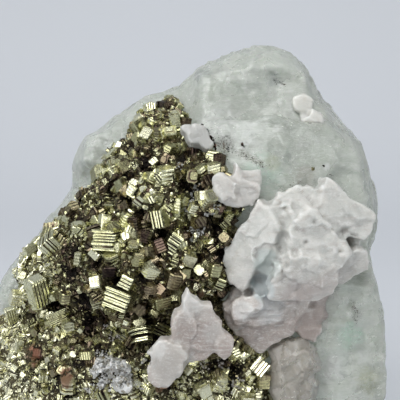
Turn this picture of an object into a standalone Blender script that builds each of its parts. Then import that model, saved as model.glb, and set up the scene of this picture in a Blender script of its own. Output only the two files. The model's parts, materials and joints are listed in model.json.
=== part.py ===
"""Fluorite with pyrite: a blocky fluorite mass with a crust of striated pyrite crystals at its
front and left, and white bladed carbonate standing on both.

X runs to the right, Y to the back and Z up. The specimen rests on a flat cut at its foot.
Lengths are in millimetres here and become metres when each solid is made.
"""

import math
import random

import bmesh
import bpy
from mathutils import Euler, Matrix, Vector, noise

# Units
MM = 0.001

# Gaps between pieces that grew against each other
FLUORITE_GAP = 0.45
CARBONATE_GAP = 0.4

# Fineness of the solids
FLUORITE_VOXEL = 1.15
FLUORITE_SHARE_KEPT = 0.066
BED_VOXEL = 1.2
BED_SHARE_KEPT = 0.105
ROUNDING_FACTOR = 0.5
ROUNDING_PASSES = 3
BED_ROUGHNESS = 0.7
BED_GRAIN_SIZE = 2.6

# The flat foot: everything under this height is cut away
FOOT = 0.0
FOOT_BLOCK = 200.0

# Fluorite blocks. Each is an outline (x, z) seen from the front, the front and back y,
# how far its front and back faces draw in towards the middle, and its turn about Z in degrees.
FLUORITE_BLOCKS = {
    "top": (
        [(1.0, 68.5), (5.0, 72.0), (9.9, 74.2), (15.7, 75.7), (17.0, 76.4), (20.9, 75.6),
         (24.2, 73.6), (26.4, 70.7), (28.0, 66.5), (29.0, 46.0), (-2.0, 46.0), (-5.0, 60.0)],
        -10.5, 9.5, 0.7, 0.66, 7,
    ),
    "shoulder": (
        [(24.0, 66.0), (28.4, 66.8), (31.2, 62.4), (33.8, 59.8), (36.7, 57.0), (37.8, 54.1),
         (38.4, 50.0), (40.0, 46.4), (40.0, 43.0), (38.4, 37.0), (16.0, 34.0), (16.0, 58.0)],
        -15.5, 12.0, 0.76, 0.66, -9,
    ),
    "right_foot": (
        [(36.2, 39.6), (37.6, 34.0), (37.8, 23.1), (38.8, 17.8), (39.6, 11.3), (39.0, 3.6),
         (37.0, -4.0), (8.0, -4.0), (8.0, 39.0)],
        -20.5, 15.0, 0.8, 0.7, 5,
    ),
    "middle": (
        [(-14.0, -4.0), (-14.0, 46.0), (-4.0, 60.0), (18.0, 62.0), (33.0, 50.0), (36.0, 20.0),
         (33.0, -4.0)],
        -21.5, 15.0, 0.8, 0.66, -3,
    ),
    "upper_left": (
        [(1.0, 68.4), (-5.2, 66.4), (-8.7, 64.0), (-13.7, 61.0), (-17.7, 58.0), (-19.8, 54.1),
         (-20.5, 51.1), (-20.0, 42.0), (-6.0, 38.0), (6.0, 50.0)],
        -6.0, 10.5, 0.68, 0.64, -12,
    ),
    "left": (
        [(-18.0, 51.0), (-22.0, 46.2), (-26.2, 39.8), (-31.0, 34.0), (-30.0, 8.0), (0.0, 8.0),
         (0.0, 50.0)],
        -11.0, 15.0, 0.76, 0.68, 10,
    ),
    "far_left": (
        [(-27.0, 38.5), (-32.5, 33.4), (-35.8, 27.6), (-39.0, 20.0), (-40.5, 10.0),
         (-38.0, -4.0), (-5.0, -4.0), (-10.0, 36.0)],
        -12.0, 17.0, 0.78, 0.7, -7,
    ),
    "back_foot": (
        [(-24.0, -4.0), (-26.0, 14.0), (-12.0, 30.0), (10.0, 34.0), (27.0, 24.0), (31.0, -4.0)],
        -4.0, 23.0, 0.9, 0.74, 6,
    ),
}
# Share of a block's depth over which its faces draw in
BLOCK_CHAMFER = 0.34

# Lower steps on the fluorite's faces: centre, size, and turn about X, Y and Z in degrees
FLUORITE_STEPS = [
    ((11.0, -7.0, 65.5), (15.0, 8.0, 9.0), (-20, 10, 16)),
    ((21.5, -6.5, 65.0), (10.0, 9.0, 10.0), (-24, -14, -12)),
    ((29.0, -12.0, 51.5), (9.0, 9.0, 10.0), (-10, 16, 16)),
    ((12.0, -14.5, 58.0), (16.0, 9.0, 9.0), (-24, -8, -6)),
    ((23.0, -14.5, 56.0), (9.0, 8.0, 12.0), (-16, 12, 10)),
    ((31.5, -16.5, 29.0), (8.0, 10.0, 12.0), (4, 12, 20)),
    ((32.0, -17.5, 12.0), (8.0, 10.0, 13.0), (-4, -8, 16)),
    ((-14.0, -3.0, 55.0), (9.0, 9.0, 7.0), (-14, 24, 20)),
    ((9.0, 8.5, 58.0), (17.0, 9.0, 12.0), (26, 12, -12)),
    ((24.0, 11.5, 43.0), (15.0, 9.0, 15.0), (18, -14, -20)),
    ((3.0, 14.5, 37.0), (18.0, 9.0, 14.0), (14, 16, 12)),
    ((-21.0, 14.0, 20.0), (16.0, 10.0, 14.0), (8, 14, 22)),
    ((27.0, 15.5, 16.0), (16.0, 9.0, 15.0), (10, 12, -18)),
    ((-11.0, 9.0, 49.0), (14.0, 8.0, 10.0), (20, -22, 18)),
    ((6.0, 21.0, 12.0), (17.0, 8.0, 13.0), (12, -10, 8)),
    ((36.0, 3.0, 26.0), (6.0, 14.0, 13.0), (10, 6, 8)),
]

# Swellings of the pyrite bed: centre and radii
BED_LUMPS = {
    "peak": ((-0.4, -10.0, 58.0), (4.3, 8.5, 8.4)),
    "peak_side": ((4.0, -14.0, 55.0), (4.8, 9.0, 5.6)),
    "upper": ((-3.2, -11.0, 49.5), (11.2, 14.0, 11.5)),
    "upper_right": ((6.4, -15.0, 50.0), (5.4, 11.5, 8.0)),
    "beside_blades": ((7.4, -16.0, 40.5), (5.6, 10.5, 10.5)),
    "over_blades": ((10.4, -16.5, 48.2), (3.6, 8.5, 4.6)),
    "upper_left": ((-13.4, -9.0, 43.5), (7.2, 11.0, 8.0)),
    "centre": ((-7.0, -12.0, 37.0), (17.5, 16.5, 13.0)),
    "left": ((-20.0, -7.5, 30.6), (11.4, 13.0, 10.6)),
    "lower": ((-12.0, -11.0, 14.0), (21.0, 18.5, 19.0)),
    "lower_right": ((6.5, -12.0, 16.0), (14.0, 17.0, 20.0)),
    "far_left": ((-30.5, -4.5, 12.0), (10.5, 13.5, 17.5)),
    "foot_right": ((12.5, -14.0, 5.0), (9.5, 13.5, 13.5)),
}

# Larger pyrite crystals: kind, x, z, size, turn about X, Y and Z in degrees.
# Each stands on the bed at the front, a share of its size sunk in.
HERO_SUNK = 0.28
HERO_CRYSTALS = [
    ("cube", -20.6, 43.2, 4.6, 20, 32, 38),
    ("column", -20.4, 34.4, 4.0, 16, 6, 24),
    ("cube", -9.4, 43.6, 4.8, 12, 8, 30),
    ("plates", -9.2, 40.8, 4.6, 62, 12, 20),
    ("cube", -10.6, 38.2, 3.0, 14, 10, 50),
    ("plates", -8.8, 33.8, 6.2, 24, -22, 12),
    ("cube", -3.4, 39.6, 4.6, 30, 38, 20),
    ("pyritohedron", -5.8, 40.6, 3.2, 10, 20, 30),
    ("cube", -7.0, 44.4, 2.6, 35, 10, 20),
    ("plates", 0.2, 42.8, 4.6, 40, -18, 28),
    ("cube", -1.8, 47.2, 3.8, 22, 26, 40),
    ("plates", -5.0, 27.6, 5.4, 20, 8, 14),
    ("cube", -2.2, 28.8, 3.0, 30, 14, 40),
    ("column", -18.6, 29.4, 3.0, 70, 20, 64),
    ("cube", -3.4, 62.6, 3.2, 30, 18, 36),
    ("plates", -0.8, 60.6, 3.4, 60, 30, 20),
    ("cube", -0.8, 56.0, 3.0, 14, 6, 22),
    ("pyritohedron", 2.2, 63.4, 3.0, 16, 30, 10),
    ("cube", 0.4, 64.6, 2.8, 34, 22, 50),
    ("cube", 7.4, 57.6, 3.6, 20, 24, 44),
    ("pyritohedron", 7.0, 53.6, 3.0, 40, 10, 20),
    ("cube", 7.8, 39.0, 4.2, 18, 20, 30),
    ("pyritohedron", 9.6, 36.6, 3.6, 30, 16, 12),
    ("cube", 5.4, 40.8, 3.2, 26, 44, 16),
    ("cube", -15.2, 46.2, 4.2, 36, 20, 20),
    ("cube", -15.8, 42.4, 3.8, 14, 40, 30),
    ("pyritohedron", -11.8, 47.2, 3.6, 22, 12, 40),
    ("cube", -26.4, 36.2, 3.4, 20, 30, 24),
    ("cube", -26.2, 30.0, 3.6, 40, 18, 34),
    ("column", -24.4, 27.6, 2.8, 14, 8, 50),
    ("cube", -14.2, 30.6, 3.4, 26, 30, 18),
    ("cube", -13.8, 36.4, 3.2, 32, 12, 46),
    ("pyritohedron", 1.6, 33.0, 3.2, 20, 30, 40),
    ("cube", 4.6, 44.8, 3.2, 40, 26, 14),
    ("cube", 15.6, 22.4, 3.8, 22, 16, 36),
    ("plates", 15.8, 19.6, 3.6, 48, 10, 30),
    ("pyritohedron", 3.6, 20.4, 3.4, 26, 14, 20),
    ("cube", 5.6, 18.2, 3.2, 14, 34, 44),
    ("cube", 12.6, 15.4, 3.8, 30, 22, 28),
    ("column", -17.6, 18.6, 3.0, 8, 14, 30),
    ("cube", -24.6, 20.4, 3.6, 24, 10, 38),
    ("plates", -29.0, 25.2, 3.8, 30, 20, 26),
]

# Smaller crystals of the bed, placed by rule over its front
FILL_SEED = 41
FILL_COLUMNS = 8
FILL_ROWS = 9
FILL_X = (-35.0, 18.0)
FILL_Z = (3.0, 66.0)
FILL_SIZE = (2.2, 3.6)
FILL_CLEARANCE = 0.75

# White carbonate blades. Each is an outline (x, z) seen from the front, its middle y,
# its thickness, and its turn about X and Z in degrees.
BLADE_EDGE = 0.78
CLUSTER_BLADES = {
    "left": (
        [(14.9, 50.9), (11.7, 46.2), (8.7, 42.0), (8.6, 37.6), (11.0, 35.3), (13.2, 34.7),
         (16.2, 35.5), (18.6, 40.2), (17.6, 48.0)], -25.0, 5.0, -6, -10),
    "top": (
        [(17.9, 51.9), (20.6, 52.9), (22.4, 52.8), (25.0, 52.2), (26.4, 47.8), (25.2, 43.0),
         (21.0, 41.0), (17.2, 43.6), (16.3, 49.6)], -23.0, 5.0, -14, 4),
    "right": (
        [(25.3, 54.8), (27.0, 54.3), (28.7, 52.0), (29.7, 50.7), (35.2, 47.6), (35.1, 46.0),
         (31.0, 43.4), (27.7, 44.8), (24.6, 47.4), (23.7, 52.2)], -22.5, 5.5, -8, 10),
    "front": (
        [(21.8, 48.2), (25.8, 47.3), (30.1, 43.3), (29.6, 40.0), (27.3, 37.4), (27.1, 34.8),
         (25.7, 33.8), (21.9, 33.7), (17.0, 33.9), (16.3, 35.7), (18.3, 41.0), (19.0, 45.4)],
        -26.0, 5.5, 5, 3),
    "lower_right": (
        [(30.4, 42.8), (33.1, 42.4), (34.3, 40.0), (33.9, 38.0), (29.4, 35.6), (26.4, 36.0),
         (26.8, 41.0)], -22.5, 5.5, 6, 12),
    "window": (
        [(13.6, 43.4), (18.4, 43.3), (18.8, 40.2), (16.2, 37.2), (14.0, 38.2)],
        -26.6, 3.2, 8, 14),
    "inner": (
        [(12.5, 45.0), (22.0, 50.0), (29.0, 45.0), (30.0, 38.0), (24.0, 34.5), (14.0, 36.0)],
        -20.5, 6.5, 0, 0),
    "shelf": (
        [(9.9, 32.0), (13.1, 34.5), (16.4, 33.6), (15.6, 30.7), (12.7, 30.0), (10.2, 30.2)],
        -26.0, 4.4, -20, -6),
    "step": (
        [(14.0, 34.6), (20.8, 34.4), (19.0, 29.9), (14.6, 29.0), (11.6, 29.4)],
        -24.6, 4.6, -12, 4),
    "triangle": (
        [(8.8, 32.4), (9.0, 28.8), (11.1, 27.3), (13.2, 24.6), (15.6, 23.1), (19.0, 26.4),
         (20.8, 28.6), (19.6, 32.0), (12.0, 33.0)], -24.0, 4.0, 8, 2),
    "triangle_arm": (
        [(18.2, 25.8), (21.6, 26.9), (21.2, 29.0), (24.8, 33.4), (21.0, 34.6), (15.6, 31.6)],
        -23.6, 3.4, 6, 10),
    "shadowed": (
        [(22.8, 33.0), (28.4, 33.6), (29.0, 30.4), (26.8, 27.2), (25.0, 24.3), (22.6, 24.4),
         (21.4, 27.0), (21.2, 30.6)], -21.6, 4.2, 4, 14),
}
WEDGE_BLADES = {
    "wedge": (
        [(1.5, 62.4), (3.0, 63.1), (5.0, 62.8), (6.4, 61.1), (7.4, 59.3), (6.9, 58.2),
         (5.0, 58.9), (2.6, 59.8)], -21.0, 3.4, -18, 6),
    "root": ([(3.2, 61.8), (6.2, 60.4), (6.6, 58.0), (3.6, 58.6)], -18.6, 5.0, 0, 0),
}
FAN_BLADES = {
    "left": (
        [(7.0, 54.4), (8.7, 55.4), (10.3, 54.9), (11.8, 53.0), (11.0, 50.6), (9.0, 49.4),
         (7.2, 51.2)], -25.4, 3.8, -10, -8),
    "right": (
        [(10.0, 54.8), (11.2, 56.7), (12.2, 55.2), (15.5, 55.4), (15.2, 52.8), (13.8, 50.4),
         (11.7, 49.0), (9.8, 49.4)], -23.8, 4.4, -12, 8),
    "root": ([(8.4, 53.6), (14.0, 54.2), (13.4, 50.2), (9.4, 50.0)], -21.6, 5.2, 0, 0),
}
LOWER_BLADES = {
    "triangle": (
        [(3.3, 36.4), (4.6, 34.8), (5.8, 33.8), (7.0, 34.1), (8.1, 31.6), (8.8, 28.8),
         (7.4, 26.8), (5.0, 25.6), (2.3, 26.4), (-0.3, 29.6), (0.0, 33.2)], -29.2, 3.6, 4, 4),
    "lobe": (
        [(7.2, 28.4), (8.7, 29.0), (10.6, 28.2), (11.2, 25.9), (10.1, 24.0), (7.7, 23.6),
         (6.2, 25.6)], -28.2, 4.2, 0, 12),
    "rhomb": (
        [(-3.2, 27.6), (-0.9, 28.3), (1.6, 27.3), (3.4, 25.9), (2.6, 23.4), (1.3, 20.8),
         (-1.0, 19.2), (-2.8, 19.6), (-3.9, 22.4)], -30.0, 4.8, -6, -8),
    "root": ([(0.0, 27.6), (5.0, 28.6), (8.6, 26.8), (6.0, 23.4), (1.0, 23.0)], -27.6, 4.6, 0, 0),
}
PAIR_BLADES = {
    "upper": (
        [(21.5, 67.0), (23.7, 67.7), (25.4, 67.0), (25.6, 65.4), (24.1, 64.0), (21.7, 64.5)],
        -11.6, 3.4, -20, 4),
    "lower": (
        [(22.9, 63.4), (24.3, 64.8), (26.6, 64.3), (27.3, 62.6), (26.2, 60.7), (23.7, 61.3)],
        -13.6, 4.2, -16, 8),
    "root": ([(22.6, 65.2), (25.2, 65.4), (25.6, 62.2), (23.6, 62.0)], -11.0, 5.4, 0, 0),
}
DRUSE_BLADES = {
    "bed": (
        [(-14.2, 20.8), (-12.2, 22.6), (-9.6, 23.4), (-7.0, 22.6), (-5.2, 20.4), (-5.8, 17.9),
         (-9.1, 16.6), (-12.8, 17.8)], -29.2, 3.8, -4, -6),
    "left_knob": ([(-13.4, 20.6), (-11.4, 22.8), (-9.8, 20.4), (-11.6, 18.4)], -29.6, 3.8, 12, -14),
    "right_knob": ([(-9.4, 22.4), (-6.6, 22.2), (-5.8, 19.4), (-8.8, 19.0)], -29.7, 3.8, -10, 16),
    "low_knob": ([(-10.6, 19.2), (-8.0, 19.4), (-7.6, 17.2), (-10.8, 16.8)], -29.5, 3.6, 16, 4),
}

# The clear crystal: an outline like a blade's, rounded
CLEAR_OUTLINE = [
    (17.4, 24.2), (20.8, 25.9), (24.4, 25.0), (26.2, 22.3), (26.4, 17.8), (25.6, 12.0),
    (22.0, 7.6), (18.6, 8.4), (17.4, 13.4), (16.8, 19.3),
]
CLEAR_MIDDLE_Y = -21.4
CLEAR_THICKNESS = 8.4
CLEAR_VOXEL = 0.9
CLEAR_SHARE_KEPT = 0.3

# Colours: red, green, blue
FLUORITE_COLOUR = (0.50, 0.60, 0.52)
PYRITE_COLOUR = (0.62, 0.55, 0.28)
CARBONATE_COLOUR = (0.74, 0.73, 0.71)
CLEAR_COLOUR = (0.52, 0.47, 0.40)

OBJECT_NAME = "fluorite_with_pyrite"
CUTTERS_NAME = "cutters"

shown = bpy.data.collections.new(OBJECT_NAME)
cutters = bpy.data.collections.new(CUTTERS_NAME)


def clear_scene():
    for old in list(bpy.data.objects):
        bpy.data.objects.remove(old, do_unlink=True)


def material(name, colour, roughness, metallic=0.0):
    made = bpy.data.materials.new(name)
    made.use_nodes = True
    shader = made.node_tree.nodes["Principled BSDF"]
    shader.inputs["Base Color"].default_value = (*colour, 1.0)
    shader.inputs["Roughness"].default_value = roughness
    shader.inputs["Metallic"].default_value = metallic
    return made


def object_of(name, bm, collection):
    """An object from a bmesh in millimetres."""
    bmesh.ops.recalc_face_normals(bm, faces=bm.faces)
    bmesh.ops.scale(bm, vec=(MM, MM, MM), verts=bm.verts)
    mesh = bpy.data.meshes.new(name)
    bm.to_mesh(mesh)
    bm.free()
    made = bpy.data.objects.new(name, mesh)
    collection.objects.link(made)
    if collection == cutters:
        made.hide_render = True
        made.display_type = "WIRE"
    return made


def add_hull(bm, points):
    """Adds the convex solid round the points."""
    corners = [bm.verts.new(point) for point in points]
    hull = bmesh.ops.convex_hull(bm, input=corners)
    spare = set(hull["geom_interior"]) | set(hull["geom_unused"])
    bmesh.ops.delete(bm, geom=[item for item in spare if isinstance(item, bmesh.types.BMVert)])


def add_block(bm, outline, front, back, front_draw, back_draw, turn_z):
    """Adds one blocky solid: its outline held over the middle depth, its ends drawn in."""
    middle_x = sum(x for x, _ in outline) / len(outline)
    middle_z = sum(z for _, z in outline) / len(outline)
    middle = Vector((middle_x, (front + back) / 2, middle_z))
    turn = Matrix.Rotation(math.radians(turn_z), 3, "Z")
    depth = back - front
    rings = (
        (front, front_draw),
        (front + BLOCK_CHAMFER * depth, 1.0),
        (back - BLOCK_CHAMFER * depth, 1.0),
        (back, back_draw),
    )
    points = []
    for y, draw in rings:
        for x, z in outline:
            away = Vector(((x - middle_x) * draw, y - middle.y, (z - middle_z) * draw))
            points.append(middle + turn @ away)
    add_hull(bm, points)


def add_blade(bm, outline, middle_y, thickness, turn_x, turn_z, grow=0.0):
    """Adds one blade: an outline with bevelled edges, turned about its middle."""
    middle = Vector((
        sum(x for x, _ in outline) / len(outline),
        middle_y,
        sum(z for _, z in outline) / len(outline),
    ))
    turn = Euler((math.radians(turn_x), 0.0, math.radians(turn_z))).to_matrix()
    half = thickness / 2 + grow
    points = []
    for depth, draw in ((-half, BLADE_EDGE), (-half * 0.25, 1.0), (half, 0.96)):
        for x, z in outline:
            away = Vector((x - middle.x, 0.0, z - middle.z))
            away = away * draw + away.normalized() * grow
            points.append(middle + turn @ Vector((away.x, depth, away.z)))
    add_hull(bm, points)


def box_points(size_x, size_y, size_z, centre=(0.0, 0.0, 0.0)):
    return [
        Vector((sx * size_x / 2, sy * size_y / 2, sz * size_z / 2)) + Vector(centre)
        for sx in (-1, 1) for sy in (-1, 1) for sz in (-1, 1)
    ]


def pyritohedron_points(size):
    """Twelve five-sided faces."""
    half = size * 0.46
    long = half * 1.5
    short = half * 0.75
    points = [Vector((sx * half, sy * half, sz * half)) for sx in (-1, 1) for sy in (-1, 1)
              for sz in (-1, 1)]
    for sa in (-1, 1):
        for sb in (-1, 1):
            points.append(Vector((0.0, sa * long, sb * short)))
            points.append(Vector((sa * short, 0.0, sb * long)))
            points.append(Vector((sa * long, sb * short, 0.0)))
    return points


def crystal_bodies(kind, size):
    """The convex bodies that make one crystal."""
    if kind == "cube":
        return [box_points(size, size, size)]
    if kind == "column":
        return [box_points(size, size, size * 1.9)]
    if kind == "plates":
        step = size * 0.2
        bodies = [box_points(size, size * 0.8, size * 0.42)]
        bodies.append(box_points(size * 0.86, size * 0.66, size * 0.7, (step * 0.2, 0.0, 0.0)))
        return bodies
    return [pyritohedron_points(size)]


def add_crystal(bm, kind, place, size, turns):
    turn = Euler([math.radians(angle) for angle in turns]).to_matrix()
    for points in crystal_bodies(kind, size):
        add_hull(bm, [place + turn @ point for point in points])


def bed_front(x, z):
    """The y of the bed's front at this x and z, or None beside the bed."""
    found = None
    for centre, radii in BED_LUMPS.values():
        across = ((x - centre[0]) / radii[0]) ** 2 + ((z - centre[2]) / radii[2]) ** 2
        if across >= 1.0:
            continue
        y = centre[1] - radii[1] * math.sqrt(1.0 - across)
        if found is None or y < found:
            found = y
    return found


def hero_places():
    places = []
    for kind, x, z, size, turn_x, turn_y, turn_z in HERO_CRYSTALS:
        front = bed_front(x, z)
        if front is None:
            continue
        sunk = size * (0.5 - HERO_SUNK)
        places.append((kind, Vector((x, front - sunk + size * 0.12, z)), size, (turn_x, turn_y, turn_z)))
    return places


def fill_places(taken):
    """Smaller crystals where the larger ones leave room."""
    chance = random.Random(FILL_SEED)
    places = []
    step_x = (FILL_X[1] - FILL_X[0]) / FILL_COLUMNS
    step_z = (FILL_Z[1] - FILL_Z[0]) / FILL_ROWS
    for row in range(FILL_ROWS):
        for column in range(FILL_COLUMNS):
            x = FILL_X[0] + (column + chance.random()) * step_x
            z = FILL_Z[0] + (row + chance.random()) * step_z
            size = chance.uniform(*FILL_SIZE)
            turns = [chance.uniform(0, 90) for _ in range(3)]
            kind = chance.choice(("cube", "cube", "pyritohedron", "column"))
            front = bed_front(x, z)
            if front is None:
                continue
            place = Vector((x, front + size * 0.1, z))
            if any((place - other).length < FILL_CLEARANCE * (size + reach) / 2 * 1.6
                   for _, other, reach, _ in taken + places):
                continue
            places.append((kind, place, size * (0.7 if kind == "column" else 1.0), turns))
    return places


def add_modifier(obj, kind, **settings):
    made = obj.modifiers.new(kind.title(), kind)
    for name, value in settings.items():
        setattr(made, name, value)
    return made


def settle(obj):
    """Makes the object's modifiers part of its mesh."""
    graph = bpy.context.evaluated_depsgraph_get()
    graph.update()
    mesh = bpy.data.meshes.new_from_object(obj.evaluated_get(graph))
    obj.modifiers.clear()
    obj.data = mesh


def keep_largest(obj):
    """Drops the crumbs that a Boolean leaves, keeping the body with the most faces."""
    bm = bmesh.new()
    bm.from_mesh(obj.data)
    bmesh.ops.remove_doubles(bm, verts=bm.verts, dist=1e-7)
    unseen = set(bm.faces)
    groups = []
    while unseen:
        start = unseen.pop()
        group = {start}
        edge_of_group = [start]
        while edge_of_group:
            face = edge_of_group.pop()
            for edge in face.edges:
                for other in edge.link_faces:
                    if other in unseen:
                        unseen.remove(other)
                        group.add(other)
                        edge_of_group.append(other)
        groups.append(group)
    largest = max(groups, key=len)
    crumbs = [face for group in groups if group is not largest for face in group]
    bmesh.ops.delete(bm, geom=crumbs, context="FACES")
    bmesh.ops.triangulate(bm, faces=bm.faces)
    bm.to_mesh(obj.data)
    bm.free()


def round_and_thin(obj, voxel, share_kept):
    add_modifier(obj, "REMESH", mode="VOXEL", voxel_size=voxel * MM)
    add_modifier(obj, "SMOOTH", factor=ROUNDING_FACTOR, iterations=ROUNDING_PASSES)
    settle(obj)
    add_modifier(obj, "DECIMATE", ratio=share_kept)
    settle(obj)


def boolean(obj, operation, other):
    if isinstance(other, bpy.types.Collection):
        add_modifier(obj, "BOOLEAN", operation=operation, solver="EXACT", operand_type="COLLECTION",
                     collection=other)
    else:
        add_modifier(obj, "BOOLEAN", operation=operation, solver="EXACT", object=other)


def cut_foot(obj, below):
    boolean(obj, "DIFFERENCE", below)
    settle(obj)
    keep_largest(obj)


def grown_copy(obj, name, distance):
    """A cutter: the object moved outwards along its normals."""
    mesh = obj.data.copy()
    mesh.name = name
    made = bpy.data.objects.new(name, mesh)
    normals = [vertex.normal.copy() for vertex in mesh.vertices]
    for vertex, normal in zip(mesh.vertices, normals):
        vertex.co += normal * distance * MM
    cutters.objects.link(made)
    made.hide_render = True
    made.display_type = "WIRE"
    return made


def make_foot_block():
    bm = bmesh.new()
    bmesh.ops.create_cube(bm, size=FOOT_BLOCK)
    bmesh.ops.translate(bm, vec=(0.0, 0.0, FOOT - FOOT_BLOCK / 2), verts=bm.verts)
    return object_of("below_foot", bm, cutters)


def union_of(name, adders, collection):
    """One solid from several convex bodies."""
    first = None
    rest = bpy.data.collections.new(name + "_bodies")
    for number, adder in enumerate(adders):
        bm = bmesh.new()
        adder(bm)
        body = object_of(f"{name}_body_{number}", bm, cutters)
        if first is None:
            first = body
        else:
            rest.objects.link(body)
    cutters.children.link(rest)
    rest.hide_render = True
    cutters.objects.unlink(first)
    collection.objects.link(first)
    first.name = name
    first.hide_render = collection == cutters
    first.display_type = "WIRE" if collection == cutters else "TEXTURED"
    if rest.objects:
        boolean(first, "UNION", rest)
    settle(first)
    return first


def blade_adders(blades, grow=0.0):
    def adder_of(row):
        return lambda bm: add_blade(bm, *row, grow=grow)
    return [adder_of(row) for row in blades.values()]


def make_fluorite(below):
    bm = bmesh.new()
    for row in FLUORITE_BLOCKS.values():
        add_block(bm, *row)
    for centre, size, turns in FLUORITE_STEPS:
        turn = Euler([math.radians(angle) for angle in turns]).to_matrix()
        add_hull(bm, [Vector(centre) + turn @ point for point in box_points(*size)])
    made = object_of("fluorite", bm, shown)
    round_and_thin(made, FLUORITE_VOXEL, FLUORITE_SHARE_KEPT)
    wide = grown_copy(made, "fluorite_space", FLUORITE_GAP)
    cut_foot(made, below)
    return made, wide


def make_bed():
    bm = bmesh.new()
    for centre, radii in BED_LUMPS.values():
        lump = bmesh.ops.create_icosphere(bm, subdivisions=4, radius=1.0)
        bmesh.ops.scale(bm, vec=radii, verts=lump["verts"])
        bmesh.ops.translate(bm, vec=centre, verts=lump["verts"])
    made = object_of("pyrite_crust", bm, shown)
    add_modifier(made, "REMESH", mode="VOXEL", voxel_size=BED_VOXEL * MM)
    settle(made)
    for vertex in made.data.vertices:
        grain = noise.noise(vertex.co / (BED_GRAIN_SIZE * MM))
        vertex.co += vertex.normal * grain * BED_ROUGHNESS * MM
    add_modifier(made, "DECIMATE", ratio=BED_SHARE_KEPT)
    settle(made)
    return made


def make_crust(below, fluorite_space, carbonate_spaces):
    made = make_bed()
    heroes = hero_places()
    places = heroes + fill_places(heroes)
    crystals = bpy.data.collections.new("crystals")
    cutters.children.link(crystals)
    crystals.hide_render = True
    for number, (kind, place, size, turns) in enumerate(places):
        bm = bmesh.new()
        add_crystal(bm, kind, place, size, turns)
        body = object_of(f"crystal_{number}", bm, cutters)
        cutters.objects.unlink(body)
        crystals.objects.link(body)
    boolean(made, "UNION", crystals)
    settle(made)
    boolean(made, "DIFFERENCE", fluorite_space)
    settle(made)
    for space in carbonate_spaces:
        boolean(made, "DIFFERENCE", space)
        settle(made)
    cut_foot(made, below)
    return made


def make_carbonate(name, blades, fluorite_space):
    made = union_of(name, blade_adders(blades), shown)
    boolean(made, "DIFFERENCE", fluorite_space)
    settle(made)
    keep_largest(made)
    space = union_of(name + "_space", blade_adders(blades, CARBONATE_GAP), cutters)
    return made, space


def make_clear_crystal(below, fluorite_space, cluster_space):
    bm = bmesh.new()
    add_blade(bm, CLEAR_OUTLINE, CLEAR_MIDDLE_Y, CLEAR_THICKNESS, 4, 6)
    made = object_of("clear_crystal_low", bm, shown)
    round_and_thin(made, CLEAR_VOXEL, CLEAR_SHARE_KEPT)
    space = grown_copy(made, "clear_crystal_space", CARBONATE_GAP)
    boolean(made, "DIFFERENCE", fluorite_space)
    settle(made)
    boolean(made, "DIFFERENCE", cluster_space)
    settle(made)
    cut_foot(made, below)
    return made, space


def centre_on_foot(pieces):
    """Puts the middle of the whole specimen's box, at its foot, on the origin."""
    corners = [vertex.co for piece in pieces for vertex in piece.data.vertices]
    low = [min(corner[axis] for corner in corners) for axis in range(3)]
    high = [max(corner[axis] for corner in corners) for axis in range(3)]
    move = Vector((-(low[0] + high[0]) / 2, -(low[1] + high[1]) / 2, -low[2]))
    for piece in pieces:
        piece.data.transform(Matrix.Translation(move))
    print("moved by mm", [round(value / MM, 3) for value in move])


def main():
    clear_scene()
    bpy.context.scene.collection.children.link(shown)
    bpy.context.scene.collection.children.link(cutters)
    cutters.hide_render = True
    below = make_foot_block()
    fluorite, fluorite_space = make_fluorite(below)
    carbonates = {}
    spaces = {}
    for name, blades in (
        ("calcite_cluster", CLUSTER_BLADES),
        ("calcite_wedge_upper", WEDGE_BLADES),
        ("calcite_fan_middle", FAN_BLADES),
        ("calcite_blades_lower", LOWER_BLADES),
        ("calcite_pair_far", PAIR_BLADES),
        ("calcite_druse_low", DRUSE_BLADES),
    ):
        carbonates[name], spaces[name] = make_carbonate(name, blades, fluorite_space)
    clear, clear_space = make_clear_crystal(below, fluorite_space, spaces["calcite_cluster"])
    crust = make_crust(below, fluorite_space, [*spaces.values(), clear_space])

    colours = {
        fluorite: material("fluorite", FLUORITE_COLOUR, 0.25),
        crust: material("pyrite", PYRITE_COLOUR, 0.3, 1.0),
        clear: material("clear_crystal", CLEAR_COLOUR, 0.2),
    }
    white = material("carbonate", CARBONATE_COLOUR, 0.45)
    for piece in (fluorite, crust, clear, *carbonates.values()):
        piece.data.materials.clear()
        piece.data.materials.append(colours.get(piece, white))
        for face in piece.data.polygons:
            face.material_index = 0
            face.use_smooth = False
    centre_on_foot([fluorite, crust, clear, *carbonates.values()])


main()
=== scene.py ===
"""Fluorite with pyrite: cloudy fluorite, a crust of striated pyrite and white bladed carbonate.

Lengths here are millimetres in the specimen's own layout, X right, Y back and Z up. They become
metres, moved onto the middle of the foot, when a mesh is made.
"""

import json
import math
import random
from contextlib import contextmanager

import bmesh
import bpy
import numpy as np
from bpy.props import FloatProperty, FloatVectorProperty, IntProperty, PointerProperty
from mathutils import Euler, Matrix, Vector
from mathutils.bvhtree import BVHTree

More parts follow.
